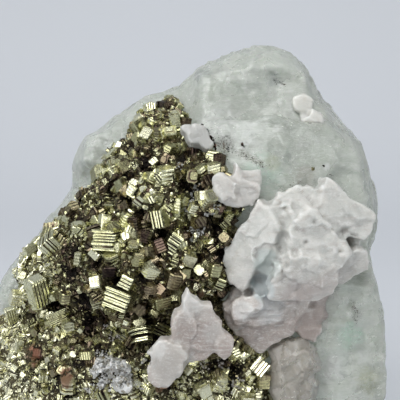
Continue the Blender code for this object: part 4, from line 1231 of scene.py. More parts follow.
def crystal(kind, width, height, chance):
    """One pyrite crystal of this kind, standing along Z round its middle."""
    depth = width * chance.uniform(0.82, 1.0)
    shift = width * 0.04
    if kind in RIDGED:
        least, ridge, cut, groove, drift, plain_side = RIDGED[kind]
        levels = ridged_levels(height, max(least, round(height / ridge)), groove, shift * drift,
                               chance)
        return stack(cut_square(width, depth, width * cut), levels, plain_side)
    if kind == "fluted":
        levels = [(-height / 2, 1, 0, 0, 0), (height * 0.44, 1, 0, 0, 0),
                  (height / 2, 0.93, 0, 0, 0), (height / 2, 0.72, 0, 0, 0),
                  (height * 0.52, 0.66, shift, 0, 0)]
        points, faces, shades = stack(fluted_square(width, 5, width * 0.07), levels)
        # Painted shade low in the grooves between the flutes.
        side = np.arange(len(points)) % 3 == 2
        return points, faces, np.where(side & (points[:, 2] < height * 0.45), 1.0, 0.0)
    if kind == "sliver":
        levels = []
        for number in range(8):
            share = number / 7
            bend = width * 0.30 * (share - 0.5) ** 2 * 4
            levels.append((width * (share - 0.5), 1 - 0.5 * abs(share - 0.5), 0, bend, 0))
        points, faces, shades = stack(cut_square(height, width * 0.16, width * 0.03), levels)
        return points[:, (2, 1, 0)] * (1, 1, -1), faces, shades
    if kind == "pyritohedron":
        return pyritohedron(width * 0.9, height * 0.9)
    if kind == "chip":
        return chip(width, height, chance)
    top = height / 2
    step = chance.uniform(0.5, 0.8)
    side_x, side_y = chance.uniform(-0.12, 0.12) * width, chance.uniform(-0.12, 0.12) * width
    # The step at the top carries painted shade on its corners.
    levels = [(-top, chance.uniform(0.85, 1), side_x, side_y, 0), (top * 0.84, 1, 0, 0, 0),
              (top, 0.90, 0, 0, 0), (top, step, side_x, side_y, 0.6),
              (top * 1.10, step - 0.05, side_x, side_y, 0)]
    body = stack(cut_square(width, depth, width * chance.uniform(0.05, 0.2)), levels)
    if kind == "twin":
        points, faces, shades = stack(
            cut_square(width * 0.72, depth * 0.8, width * 0.06),
            ridged_levels(height * 0.9, max(2, round(height / 0.5)), 0.12, shift, chance))
        lean = [chance.uniform(-50, 50) for _ in range(3)]
        points = turned(points, *lean) + (width * 0.42, -width * 0.30, chance.uniform(-0.3, 0.3))
        return joined(body, (points, faces, shades))
    return body


def turned(points, roll, pitch, spin):
    """Points spun about Z, tipped to the front and rolled in the picture's plane."""
    turn = (Matrix.Rotation(math.radians(roll), 3, "Y") @ Matrix.Rotation(math.radians(pitch), 3, "X")
            @ Matrix.Rotation(math.radians(spin), 3, "Z"))
    return points @ np.array(turn).T


def set_attribute(mesh, name, kind, values):
    layer = mesh.attributes.new(name, kind, "POINT")
    field = "vector" if kind == "FLOAT_VECTOR" else "value"
    layer.data.foreach_set(field, np.asarray(values, np.float32).ravel())


def gathered(name, bodies):
    """One mesh from bodies (points, faces, shades, tone, grain)."""
    points, faces, tones, shades, grains = [], [], [], [], []
    count = 0
    for body, body_faces, shade, tone, grain in bodies:
        faces += [tuple(corner + count for corner in face) for face in body_faces]
        count += len(body)
        points.append(body)
        tones.append(np.full(len(body), tone))
        shades.append(shade)
        grains.append(grain)
    mesh = mesh_from(name, np.concatenate(points), faces)
    set_attribute(mesh, "tone", "FLOAT", np.concatenate(tones))
    set_attribute(mesh, "shade", "FLOAT", np.concatenate(shades))
    set_attribute(mesh, "grain", "FLOAT_VECTOR", np.concatenate(grains))
    return mesh


def bed_front(x, z):
    """The y of the bed's front at this x and z, or None beside the bed."""
    found = None
    for centre, radii in BED_LUMPS.values():
        across = ((x - centre[0]) / radii[0]) ** 2 + ((z - centre[2]) / radii[2]) ** 2
        if across < 1.0:
            y = centre[1] - radii[1] * math.sqrt(1.0 - across)
            found = y if found is None else min(found, y)
    return found


def large_places():
    """Where each larger crystal stands: its row with its middle."""
    places = []
    for row in LARGE_CRYSTALS:
        x, z, width, height = row[1:5]
        reach = min(width, height)
        places.append((row, np.array((x, bed_front(x, z) - reach * (0.5 - LARGE_SUNK), z))))
    return places


def shape_objects(name, bodies):
    """A collection of small crystals to pick from, in bare millimetres."""
    group = bpy.data.collections.new(name)
    bpy.context.scene.collection.children.link(group)
    for number, (points, faces, shades, grain) in enumerate(bodies):
        mesh = mesh_from(f"{name}_{number:02d}", points, faces, placed=False)
        set_attribute(mesh, "shade", "FLOAT", shades)
        set_attribute(mesh, "grain", "FLOAT_VECTOR", grain)
        group.objects.link(bpy.data.objects.new(mesh.name, mesh))
    return group


def discard_group(group):
    discard(list(group.objects))
    bpy.data.collections.remove(group)


def scatter_tree():
    """Geometry nodes that stand picked shapes all over a surface."""
    tree = bpy.data.node_groups.new("crystals_on_a_surface", "GeometryNodeTree")
    sockets = {}
    for label, kind in (
        ("Surface", "Geometry"), ("Shapes", "Collection"), ("Finish", "Material"),
        ("Spacing", "Float"), ("Smallest", "Float"), ("Largest", "Float"), ("Tilt", "Float"),
        ("Palest", "Float"), ("Darkest", "Float"), ("Shape Count", "Int"), ("Seed", "Int"),
    ):
        made = tree.interface.new_socket(label, in_out="INPUT", socket_type=f"NodeSocket{kind}")
        sockets[label] = made.identifier
    tree.interface.new_socket("Crystals", in_out="OUTPUT", socket_type="NodeSocketGeometry")
    b = Builder(tree)
    given = b.node("NodeGroupInput")
    spacing = given.of("Spacing")
    points = b.node(
        "GeometryNodeDistributePointsOnFaces", {"distribute_method": "POISSON"},
        {"Mesh": given.of("Surface"), "Distance Min": spacing,
         "Density Max": 3.0 / (spacing * spacing), "Seed": given.of("Seed")})
    coarse = b.node("GeometryNodeInputNamedAttribute", {"data_type": "FLOAT"}, {"Name": "coarse"})

    def chance(low, high, step, kind="FLOAT"):
        first = {"FLOAT": 2, "INT": 4, "FLOAT_VECTOR": 0}[kind]
        out = {"FLOAT": 1, "INT": 2, "FLOAT_VECTOR": 0}[kind]
        return b.node("FunctionNodeRandomValue", {"data_type": kind},
                      {first: low, first + 1: high, 8: given.of("Seed") + step}, out)

    tilt = given.of("Tilt")
    spin = chance(0.0, math.tau, 2)
    turn = b.node("ShaderNodeCombineXYZ", {}, {
        "X": chance(-1.0, 1.0, 3) * tilt, "Y": chance(-1.0, 1.0, 4) * tilt, "Z": spin})
    turn = b.node("FunctionNodeEulerToRotation", {}, {"Euler": turn})
    rotation = b.node("FunctionNodeRotateRotation", {"rotation_space": "LOCAL"},
                      {"Rotation": points.of("Rotation"), "Rotate By": turn})
    skew = chance(0.0, 1.0, 5) ** 1.7
    size = given.of("Smallest") + (given.of("Largest") - given.of("Smallest")) * skew
    shapes = b.node("GeometryNodeCollectionInfo", {},
                    {"Collection": given.of("Shapes"), "Separate Children": True,
                     "Reset Children": True})
    crystals = b.node("GeometryNodeInstanceOnPoints", {}, {
        "Points": points, "Instance": shapes, "Pick Instance": True,
        "Instance Index": chance(0, given.of("Shape Count") - 1, 6, "INT"),
        "Rotation": rotation, "Scale": size * coarse})
    toned = b.node(
        "GeometryNodeStoreNamedAttribute", {"data_type": "FLOAT", "domain": "INSTANCE"},
        {"Geometry": crystals, "Name": "tone",
         "Value": chance(given.of("Darkest"), given.of("Palest"), 7)})
    whole = b.node("GeometryNodeRealizeInstances", {}, {"Geometry": toned})
    finished = b.node("GeometryNodeSetMaterial", {},
                      {"Geometry": whole, "Material": given.of("Finish")})
    b.node("NodeGroupOutput", {}, {"Crystals": finished})
    return tree, sockets


def scatter(obj, shapes, material, spacing, sizes, tilt, tones, seed):
    """Turns a surface into the crystals that stand on it."""
    tree, sockets = scatter_tree()
    modifier = obj.modifiers.new("Crystals", "NODES")
    modifier.node_group = tree
    values = {
        "Shapes": shapes, "Finish": material, "Spacing": spacing * MM, "Smallest": sizes[0],
        "Largest": sizes[1], "Tilt": tilt, "Darkest": tones[0], "Palest": tones[1],
        "Shape Count": len(shapes.objects), "Seed": seed,
    }
    for label, value in values.items():
        modifier[sockets[label]] = value
    settle(obj)


def part_of(source, name, keep, coarse):
    """The source piece's faces that are kept, as a new object with a coarseness for each corner."""
    mesh = source.data.copy()
    mesh.materials.clear()
    mesh.name = name
    set_attribute(mesh, "coarse", "FLOAT", coarse)
    with edited(mesh) as bm:
        gone = [face for face, kept in zip(bm.faces, keep) if not kept]
        bmesh.ops.delete(bm, geom=gone, context="FACES")
    return link_new(name, mesh)


def face_middles(mesh):
    values = np.empty(len(mesh.polygons) * 3, np.float32)
    mesh.polygons.foreach_get("center", values)
    return values.reshape(-1, 3).astype(float) / MM - MOVE


def open_faces(obj, near, clear, hidden=(), cover=0.0, taken=()):
    """Which faces are free of these surfaces, not close behind them, and clear of spots."""
    middles = face_middles(obj.data)
    keep = middles[:, 2] > CRYSTALS_FROM
    eye = camera_place()
    for centre, reach in taken:
        keep &= np.linalg.norm(middles - centre, axis=1) > reach
    for number in np.flatnonzero(keep):
        place = metres(middles[number])
        for surface in near:
            if surface.find_nearest(place, clear * MM)[0] is not None:
                keep[number] = False
                break
        for surface in hidden:
            if not keep[number]:
                break
            towards = (eye - place).normalized()
            if surface.ray_cast(place, towards, cover * MM)[0] is not None:
                keep[number] = False
    return keep


def densified(outline, step):
    """The outline with points no further apart than the step."""
    points = []
    for (x0, z0), (x1, z1) in zip(outline, outline[1:] + outline[:1]):
        count = max(1, math.ceil(math.hypot(x1 - x0, z1 - z0) / step))
        for number in range(count):
            share = number / count
            points.append((x0 + (x1 - x0) * share, z0 + (z1 - z0) * share))
    return np.array(points)


def ragged(outline, amount, chance):
    """The outline broken into short straight chips, its points no further apart than these."""
    points = densified(outline, CHIP_LENGTH)
    ahead = np.roll(points, -1, 0) - np.roll(points, 1, 0)
    side = np.stack([ahead[:, 1], -ahead[:, 0]], 1) / np.linalg.norm(ahead, axis=1)[:, None]
    push = np.array([chance.uniform(-1, 1) for _ in points]) * amount
    return points + side * push[:, None]


def part_sheet(points, chance, kept):
    """The outline's part on one side of a random line that keeps about this share of it."""
    angle = chance.uniform(0, math.tau)
    across = np.array((math.cos(angle), math.sin(angle)))
    heights = (points - points.mean(0)) @ across
    limit = heights.min() + (heights.max() - heights.min()) * kept
    inside = []
    for number in range(len(points)):
        here, after = points[number], points[(number + 1) % len(points)]
        low, high = heights[number], heights[(number + 1) % len(points)]
        if low <= limit:
            inside.append(here)
        if (low <= limit) != (high <= limit):
            inside.append(here + (after - here) * (limit - low) / (high - low))
    return np.array(inside)


def add_sheet(points, faces, outline, front, back, bend):
    """Adds one closed sheet of a blade, its faces bent like the blade."""
    middle = outline.mean(0)
    reach = np.abs(outline - middle).max()

    def ring(share, depth):
        flat = middle + (outline - middle) * share
        curve = bend[0] * flat[:, 0] ** 2 + bend[1] * flat[:, 1] ** 2 + bend[2] * flat.prod(1)
        return np.column_stack([flat[:, 0], depth + curve, flat[:, 1]])

    rings = [ring(share * (1 - SHEET_BEVEL / reach), front) for share in reversed(CAP_RINGS)]
    rings += [ring(share, min(front + SHEET_BEVEL, back)) for share in CAP_RINGS[:1]]
    rings += [ring(share, back) for share in CAP_RINGS]
    count = len(outline)
    start = sum(len(part) for part in points)
    points.extend(rings)
    faces.extend(wall(count, len(rings), start))
    faces.append(tuple(range(start, start + count)))
    last = start + (len(rings) - 1) * count
    faces.append(tuple(reversed(range(last, last + count))))


def add_blade(points, faces, row, look, seed):
    """Adds one blade: a bevelled slab with thin part sheets left on its front."""
    outline, middle_y, thickness, turn_x, turn_z = row
    chance = random.Random(seed)
    middle = np.array(outline).mean(0)
    edge = ragged(outline, look.edge_tear / MM, chance) - middle
    bend = [chance.uniform(-0.012, 0.012) for _ in range(3)]
    turn = np.array(Euler((math.radians(turn_x), 0, math.radians(turn_z))).to_matrix())
    start = sum(len(part) for part in points)
    local, made = [], []
    sheets = 3 if thickness > THREE_SHEETS_FROM else 2
    front = thickness / 2 - thickness
    add_sheet(local, made, edge, front + SHEET_LIP * (sheets - 1), thickness / 2, bend)
    for sheet in range(1, sheets):
        part = part_sheet(edge, chance, chance.uniform(0.45, 0.80))
        middle_part = part.mean(0)
        part = middle_part + (part - middle_part) * SHEET_SHARE
        level = front + SHEET_LIP * (sheets - 1 - sheet)
        add_sheet(local, made, part, level, level + SHEET_LIP * 1.5, bend)
    for piece in local:
        points.append(piece @ turn.T + (middle[0], middle_y, middle[1]))
    faces += [tuple(corner + start for corner in face) for face in made]


def blade_piece(name, blades, look, seed, rough, steps=(), pits=()):
    """A group of blades grown together, with the fine relief of their faces."""
    points, faces = [], []
    for number, row in enumerate(blades.values()):
        add_blade(points, faces, row, look, seed + number * 7)
    obj = link_new(name, mesh_from(name, np.concatenate(points), faces))
    with edited(obj.data) as bm:
        bmesh.ops.recalc_face_normals(bm, faces=bm.faces)
    even_skin(obj, look.fineness, 0)
    for amount in (look.joining / MM, -look.joining / MM):
        swell(obj, amount)
        even_skin(obj, look.fineness, 0)
    at = points_of(obj.data)
    out = places_of(obj.data, "normal")
    front = facing_front(out)
    contour = wobble(at, 4.5, seed) * 3.0 + at[:, 0] * 0.20 + at[:, 2] * 0.12
    push = 0.05 * terraced(contour, 0.12) + 0.04 * wobble(at, 3.6, seed + 1)
    push += 0.012 * wobble(at, 0.5, seed + 3)
    push += rough * (0.35 * wobble(at, 1.6, seed + 2) + 0.18 * wobble(at, 0.7, seed + 5))
    cleaved = smooth_step(wobble(at, 3.4, seed + 6), -0.2, 0.3)[:, None]
    at = at + cleaved * (0.18 * stepped(at, 2.4, seed) + 0.06 * stepped(at, 0.8, seed + 1))
    push += front * (step_push(at, steps, seed + 4) + pit_push(at, pits))
    set_points(obj.data, at + out * push[:, None])
    return obj


class FluoriteLook(bpy.types.PropertyGroup):
    """Sizes and colours of the fluorite."""

    fineness: FloatProperty(
        name="Fineness", description="Size of the faces of the fluorite's surface",
        default=0.00054, min=0.0003, subtype="DISTANCE", unit="LENGTH")
    swell: FloatProperty(
        name="Swell", description="Height of its broad waves", default=0.00042,
        subtype="DISTANCE", unit="LENGTH")
    etching: FloatProperty(
        name="Etching", description="Size of the cubic steps etched into it", default=0.0021,
        subtype="DISTANCE", unit="LENGTH")
    deep: FloatVectorProperty(
        name="Deep", description="Colour where it is clearest", subtype="COLOR", size=3,
        default=(0.56, 0.60, 0.53))
    pale: FloatVectorProperty(
        name="Pale", description="Colour where it is cloudy", subtype="COLOR", size=3,
        default=(0.665, 0.70, 0.635))
    # Milk also paints the highlight along the fluorite's standing edges.
    milk: FloatVectorProperty(
        name="Milk", description="Colour of its white wisps", subtype="COLOR", size=3,
        default=(0.775, 0.79, 0.755))
    depth: FloatVectorProperty(
        name="Depth", description="Colour that light takes inside it", subtype="COLOR", size=3,
        default=(0.78, 0.84, 0.75))
    crack: FloatVectorProperty(
        name="Crack", description="Colour of its fine cracks", subtype="COLOR", size=3,
        default=(0.36, 0.38, 0.35))


class PyriteLook(bpy.types.PropertyGroup):
    """Sizes and colours of the pyrite."""

    bed_fineness: FloatProperty(
        name="Bed fineness", description="Size of the faces of the bed", default=0.00062,
        min=0.0003, subtype="DISTANCE", unit="LENGTH")
    crystal_spacing: FloatProperty(
        name="Crystal spacing", description="Least distance between middling crystals",
        default=0.00124, subtype="DISTANCE", unit="LENGTH")
    grain_spacing: FloatProperty(
        name="Grain spacing", description="Least distance between the finest crystals",
        default=0.00049, min=0.0004, subtype="DISTANCE", unit="LENGTH")
    seed: IntProperty(name="Seed", description="Picks another arrangement", default=11, min=0)
    brassy: FloatVectorProperty(
        name="Brassy", description="Usual colour", subtype="COLOR", size=3,
        default=(0.43, 0.43, 0.235))
    pale: FloatVectorProperty(
        name="Pale", description="Colour of the brightest faces", subtype="COLOR", size=3,
        default=(0.74, 0.74, 0.49))


class CarbonateLook(bpy.types.PropertyGroup):
    """Sizes and colours of the white blades and the clear crystal."""

    fineness: FloatProperty(
        name="Fineness", description="Size of the faces of the blades", default=0.00021,
        min=0.0002, subtype="DISTANCE", unit="LENGTH")
    joining: FloatProperty(
        name="Joining", description="How far the blades swell to close the gaps between them",
        subtype="DISTANCE", min=0.0, max=0.001, default=0.00040)
    edge_tear: FloatProperty(
        name="Edge tear", description="How far a blade's edge is torn in and out",
        default=0.00036, subtype="DISTANCE", unit="LENGTH")
    white: FloatVectorProperty(
        name="White", description="Colour of the upper blades", subtype="COLOR", size=3,
        default=(0.575, 0.573, 0.542))
    milk: FloatVectorProperty(
        name="Milk", description="Colour of the cloudier patches", subtype="COLOR", size=3,
        default=(0.52, 0.525, 0.495))
    # Low down this colour is painted shade as well as a rosy tint; in the seams and bands it is the
    # tint alone.
    rosy_and_low_shade: FloatVectorProperty(
        name="Rosy", description="Colour low down and in the seams", subtype="COLOR", size=3,
        default=(0.385, 0.325, 0.295))
    # Paints the highlight on sharp edges, and is also the colour of the pale flecks and bands.
    fleck_and_edge_highlight: FloatVectorProperty(
        name="Rim", description="Colour of its sharp edges", subtype="COLOR", size=3,
        default=(0.67, 0.67, 0.65))
    # Painted shade along the grooves.
    groove: FloatVectorProperty(
        name="Groove", description="Colour along its grooves", subtype="COLOR", size=3,
        default=(0.36, 0.33, 0.31))
    sugar_dark: FloatVectorProperty(
        name="Soil", description="Colour between the sugary grains", subtype="COLOR", size=3,
        default=(0.20, 0.185, 0.135))
    window: FloatVectorProperty(
        name="Window", description="Colour of the clearer patch", subtype="COLOR", size=3,
        default=(0.42, 0.46, 0.43))
    clear: FloatVectorProperty(
        name="Clear", description="Colour of the clear crystal", subtype="COLOR", size=3,
        default=(0.66, 0.61, 0.54))
    clear_pale: FloatVectorProperty(
        name="Clear pale", description="Its colour where it is hazy", subtype="COLOR", size=3,
        default=(0.78, 0.75, 0.68))
    clear_depth: FloatVectorProperty(
        name="Clear depth", description="Colour that light takes inside it", subtype="COLOR",
        size=3, default=(0.70, 0.685, 0.64))


class StageLook(bpy.types.PropertyGroup):
    """The floor, the light and the view."""

    paper: FloatVectorProperty(
        name="Paper", description="Colour of the floor and the back", subtype="COLOR", size=3,
        default=(0.52, 0.543, 0.575))
    glow: FloatProperty(
        name="Glow", description="How far the paper evens out its own light", default=0.62)
    key: FloatProperty(
        name="Key light", description="Power of the light overhead", default=0.94, unit="POWER")
    side: FloatProperty(
        name="Side light", description="Power of the light at the front left", default=0.42,
        unit="POWER")
    fill: FloatProperty(
        name="Fill light", description="Power of the light at the right", default=0.36,
        unit="POWER")


class SPECIMEN_OT_fluorite(bpy.types.Operator):
    """Make the fluorite: lumpy, etched in cubic steps and flat at its foot"""

    bl_idname = "specimen.fluorite"
    bl_label = "Fluorite"

    def execute(self, context):
        look = context.scene.fluorite_look
        obj = merged_copy("fluorite", "fluorite_mass")
        even_skin(obj, look.fineness, 26)
        at = points_of(obj.data)
        out = places_of(obj.data, "normal")
        front = facing_front(out)
        foot = smooth_step(at[:, 2], 0.1, 2.0)
        etched = smooth_step(wobble(at, 7.0, 3), 0.0, 0.5)[:, None]
        size = look.etching / MM
        moved = at + etched * foot[:, None] * 0.30 * stepped(at, size, 2)
        moved += (1 - etched) * foot[:, None] * 0.10 * stepped(at, size * 2.4, 5)
        push = look.swell / MM * wobble(at, 6.5, 4) + 0.16 * wobble(at, 2.4, 5)
        push += 0.05 * wobble(at, 0.9, 6)
        push += front * (step_push(at, FLUORITE_STEPS, 8) + pit_push(at, FLUORITE_PITS))
        moved += out * (push * foot)[:, None]
        moved[:, 2] = np.where(at[:, 2] < 0.3, np.maximum(at[:, 2], 0), np.maximum(moved[:, 2], 0))
        set_points(obj.data, moved)
        add_modifier(obj, "SMOOTH", factor=0.4, iterations=1)
        settle(obj)
        store_edges(obj)
        finish_piece(obj, fluorite_material(look), "fluorite", "fluorite")
        return {"FINISHED"}


class SPECIMEN_OT_carbonate(bpy.types.Operator):
    """Make the white blades: piles of thin curved sheets with torn edges"""

    bl_idname = "specimen.carbonate"
    bl_label = "White blades"

    def execute(self, context):
        look = context.scene.carbonate_look
        material = carbonate_material(look)
        for node, name, blades, seed, rough, steps, pits in (
            ("calcite_cluster", "cluster_blades", CLUSTER_BLADES, 20, 0.1, CLUSTER_STEPS,
             CLUSTER_PITS),
            ("calcite_wedge_upper", "wedge_blades", WEDGE_BLADES, 130, 0.1, (), ()),
            ("calcite_fan_middle", "fan_blades", FAN_BLADES, 160, 0.1, FAN_STEPS, ()),
            ("calcite_blades_lower", "lower_blades", LOWER_BLADES, 190, 0.2, (), ()),
            ("calcite_pair_far", "pair_blades", PAIR_BLADES, 220, 0.1, (), ()),
            ("calcite_druse_low", "druse_bed", DRUSE_BLADES, 250, 1.2, (), ()),
        ):
            obj = blade_piece(name, blades, look, seed, rough, steps, pits)
            store_edges(obj)
            finish_piece(obj, material, "carbonate", node)
        return {"FINISHED"}


class SPECIMEN_OT_clear_crystal(bpy.types.Operator):
    """Make the clear crystal: rounded, with shell-like curved breaks"""

    bl_idname = "specimen.clear_crystal"
    bl_label = "Clear crystal"

    def execute(self, context):
        look = context.scene.carbonate_look
        obj = merged_copy("clear_crystal_low", "clear_body")
        even_skin(obj, 0.00034, 4)
        at = points_of(obj.data)
        out = places_of(obj.data, "normal")
        at = at + 0.42 * stepped(at, 3.4, 3) + 0.30 * stepped(at, 1.5, 1)
        push = 0.14 * wobble(at, 2.8, 61) + 0.05 * wobble(at, 0.8, 62)
        for x, z, gap in ((16.0, 27.0, 2.1), (27.5, 12.0, 1.9)):
            ring = np.hypot(at[:, 0] - x, at[:, 2] - z) / gap + 0.5 * wobble(at, 3.0, 63)
            push += 0.08 * terraced(ring, 0.14)
        set_points(obj.data, at + out * push[:, None])
        finish_piece(obj, clear_material(look), "clear_crystal", "clear_crystal_low")
        return {"FINISHED"}


class SPECIMEN_OT_pyrite_bed(bpy.types.Operator):
    """Make the bed that the pyrite crystals stand on"""

    bl_idname = "specimen.pyrite_bed"
    bl_label = "Pyrite bed"

    def execute(self, context):
        look = context.scene.pyrite_look
        mesh = bpy.data.meshes.new("pyrite_bed")
        with edited(mesh) as bm:
            for centre, radii in BED_LUMPS.values():
                lump = bmesh.ops.create_icosphere(bm, subdivisions=4, radius=1.0)
                bmesh.ops.scale(bm, vec=[radius * MM for radius in radii], verts=lump["verts"])
                bmesh.ops.translate(bm, vec=metres(centre), verts=lump["verts"])
        obj = link_new("pyrite_bed", mesh)
        even_skin(obj, look.bed_fineness, 1)
        at = points_of(obj.data)
        out = places_of(obj.data, "normal")
        push = 0.9 * wobble(at, 4.2, 31) + 1.1 * wobble(at, 2.2, 32) + 0.25 * wobble(at, 0.9, 33)
        push -= 0.5
        for row, middle in large_places():
            push *= 1 - np.exp(-((at - middle) ** 2).sum(1) / (0.7 * max(row[3:5])) ** 2)
        hollow = pit_push(at, BED_HOLLOWS) * facing_front(out)
        valley = np.clip(-push - 0.7, 0, 1.2) * 1.5
        # The hollow value paints shade: the pyrite and the ground between its crystals turn darker the
        # deeper a place lies in a valley or hollow.
        set_attribute(obj.data, "hollow", "FLOAT", valley - hollow)
        set_points(obj.data, at + out * (push + hollow)[:, None])

        space = link_new("fluorite_space", bpy.data.objects["fluorite_mass"].data.copy())
        swell(space, 0.12)
        block = bpy.data.meshes.new("below_foot")
        with edited(block) as bm:
            bmesh.ops.create_cube(bm, size=0.3)
            bmesh.ops.translate(bm, vec=(0, 0, -0.15), verts=bm.verts)
        below = link_new("below_foot", block)
        for cutter in (space, below):
            add_modifier(obj, "BOOLEAN", operation="DIFFERENCE", solver="MANIFOLD", object=cutter)
        settle(obj)
        discard([space, below])
        finish_piece(obj, pyrite_ground_material(look), "pyrite", "pyrite_crust")
        return {"FINISHED"}


class SPECIMEN_OT_large_crystals(bpy.types.Operator):
    """Make the larger pyrite crystals, each in its own place"""

    bl_idname = "specimen.large_crystals"
    bl_label = "Large pyrite crystals"

    def execute(self, context):
        chance = random.Random(context.scene.pyrite_look.seed)
        bodies = []
        for row, middle in large_places():
            kind, _, _, width, height, roll, pitch, spin, tone = row
            points, faces, shades = crystal(kind, width, height, chance)
            placed = turned(points, roll, pitch, spin) + middle
            if kind == "fluted":
                points = points * (1, 1, 0)
            bodies.append((placed, faces, shades, tone, points))
        obj = link_new("pyrite_large", gathered("pyrite_large", bodies))
        material = pyrite_material(context.scene.pyrite_look)
        finish_piece(obj, material, "pyrite", smooth=False)
        return {"FINISHED"}


class SPECIMEN_OT_pyrite_crystals(bpy.types.Operator):
    """Cover the bed in middling pyrite crystals and fill between them with fine ones"""

    bl_idname = "specimen.pyrite_crystals"
    bl_label = "Pyrite crystals and grains"

    def execute(self, context):
        look = context.scene.pyrite_look
        bed = bpy.data.objects["pyrite_bed"]
        at = points_of(bed.data)
        chance = random.Random(look.seed + 1)
        blades = surface_of(*CARBONATE_PIECES)
        mass = surface_of("fluorite_mass")
        material = bpy.data.materials["striated_pyrite"]
        zone = wobble(at, 9.0, 35) - (at[:, 2] - 26) * 0.05 - at[:, 0] * 0.015
        fine_zone = smooth_step(zone, 0.1, 0.7)
        taken = [(middle, 0.50 * max(row[3:5])) for row, middle in large_places()]
        hollows = [((x, bed_front(x, z) + depth * 0.7, z), radius * 0.8 + depth * 0.4)
                   for x, z, radius, depth in BED_HOLLOWS]

        kinds = ("striated", "twin", "chip", "plates", "pyritohedron", "chip", "ledged", "chip",
                 "twin", "block", "plates", "chip", "striated", "sliver", "chip")
        bodies = []
        for kind in kinds:
            points, faces, shades = crystal(kind, 2.0, 2.0 * chance.uniform(0.5, 1.35), chance)
            lean = [chance.uniform(-40, 40), chance.uniform(-40, 40), 0]
            bodies.append((turned(points, *lean) / 2, faces, shades, points))
        shapes = shape_objects("middling", bodies)
        keep = open_faces(bed, mass + blades, 0.35, blades, 2.4, taken + hollows)
        host = part_of(bed, "pyrite_middling", keep, 1.0 - 0.22 * fine_zone)
        scatter(host, shapes, material, look.crystal_spacing / MM, *MIDDLING, look.seed)
        discard_group(shapes)
        finish_piece(host, material, "pyrite", smooth=False)

        bodies = []
        for _ in range(8):
            points, faces, shades = chip(1.0, chance.uniform(0.6, 1.3), chance, 8)
            bodies.append((points, faces, shades, points * 2))
        shapes = shape_objects("fine", bodies)
        keep = open_faces(bed, mass, 0.15, blades, 1.0)
        host = part_of(bed, "pyrite_fine", keep, np.ones(len(at)))
        scatter(host, shapes, material, look.grain_spacing / MM, *FINE, look.seed + 3)
        discard_group(shapes)
        finish_piece(host, material, "pyrite", smooth=False)
        return {"FINISHED"}


class SPECIMEN_OT_druse(bpy.types.Operator):
    """Cover the low white patch in sugary grains and dust the pyrite beside it"""

    bl_idname = "specimen.druse"
    bl_label = "Sugary grains"

    def execute(self, context):
        look = context.scene.carbonate_look
        chance = random.Random(7)
        material = carbonate_material(look)
        bodies = []
        for _ in range(6):
            width = chance.uniform(0.24, 0.46)
            points = [(x * width, y * 0.30, z * chance.uniform(0.4, 0.9))
                      for x in (-1, 1) for y in (-1, 1) for z in (-1, 1)]
            points, faces, shades = hull(points)
            bodies.append((points, faces, shades, points))
        shapes = shape_objects("sugar", bodies)
        bed = bpy.data.objects["druse_bed"]
        at = face_middles(bed.data)
        keep = (at[:, 1] < -27.6) & (wobble(at, 1.2, 73) > -0.10)
        host = part_of(bed, "druse_grains", keep, np.ones(len(bed.data.vertices)))
        scatter(host, shapes, material, SUGAR_SPACING, *SUGAR, 5)
        finish_piece(host, material, "carbonate", smooth=False)
        bed = bpy.data.objects["pyrite_bed"]
        at = face_middles(bed.data)
        share = np.zeros(len(at))
        for x, z, radius in DUST_SPOTS:
            away = np.hypot(at[:, 0] - x, at[:, 2] - z)
            share = np.maximum(share, 1.1 - away / radius)
        keep = open_faces(bed, surface_of("fluorite_mass"), 0.15)
        keep &= (share > 0.05) & (share + 0.7 * wobble(at, 1.3, 71) > 0.6) & (at[:, 1] < -12)
        lifted = part_of(bed, "pyrite_dust", keep, np.ones(len(bed.data.vertices)))
        swell(lifted, 0.35)
        scatter(lifted, shapes, material, SUGAR_SPACING, *DUST, 6)
        discard_group(shapes)
        finish_piece(lifted, material, "carbonate", smooth=False)
        return {"FINISHED"}


class SPECIMEN_OT_specks(bpy.types.Operator):
    """Set dark and brassy grains on the fluorite"""

    bl_idname = "specimen.specks"
    bl_label = "Specks on the fluorite"

    def execute(self, context):
        chance = random.Random(91)
        mass = surface_of("fluorite_mass")
        bodies = []
        for path, count, size, spread, tone in FLUORITE_SPECKS:
            for _ in range(count):
                along = chance.uniform(0, len(path) - 1.001)
                leg = int(along)
                share = along - leg
                x = path[leg][0] + (path[leg + 1][0] - path[leg][0]) * share + chance.gauss(0, spread)
                z = path[leg][1] + (path[leg + 1][1] - path[leg][1]) * share + chance.gauss(0, spread)
                met = front_hit(mass, x, z)
                if met is None:
                    continue
                width = size * chance.uniform(0.6, 1.7)
                points, faces, shades = chip(width, width * chance.uniform(0.6, 1.2), chance, 8)
                spot = points + met[0]
                own = min(1.0, max(0.0, tone + chance.uniform(-0.05, 0.10)))
                bodies.append((spot, faces, shades, own, points))
        obj = link_new("fluorite_specks", gathered("fluorite_specks", bodies))
        finish_piece(obj, bpy.data.materials["striated_pyrite"], "pyrite", smooth=False)
        return {"FINISHED"}


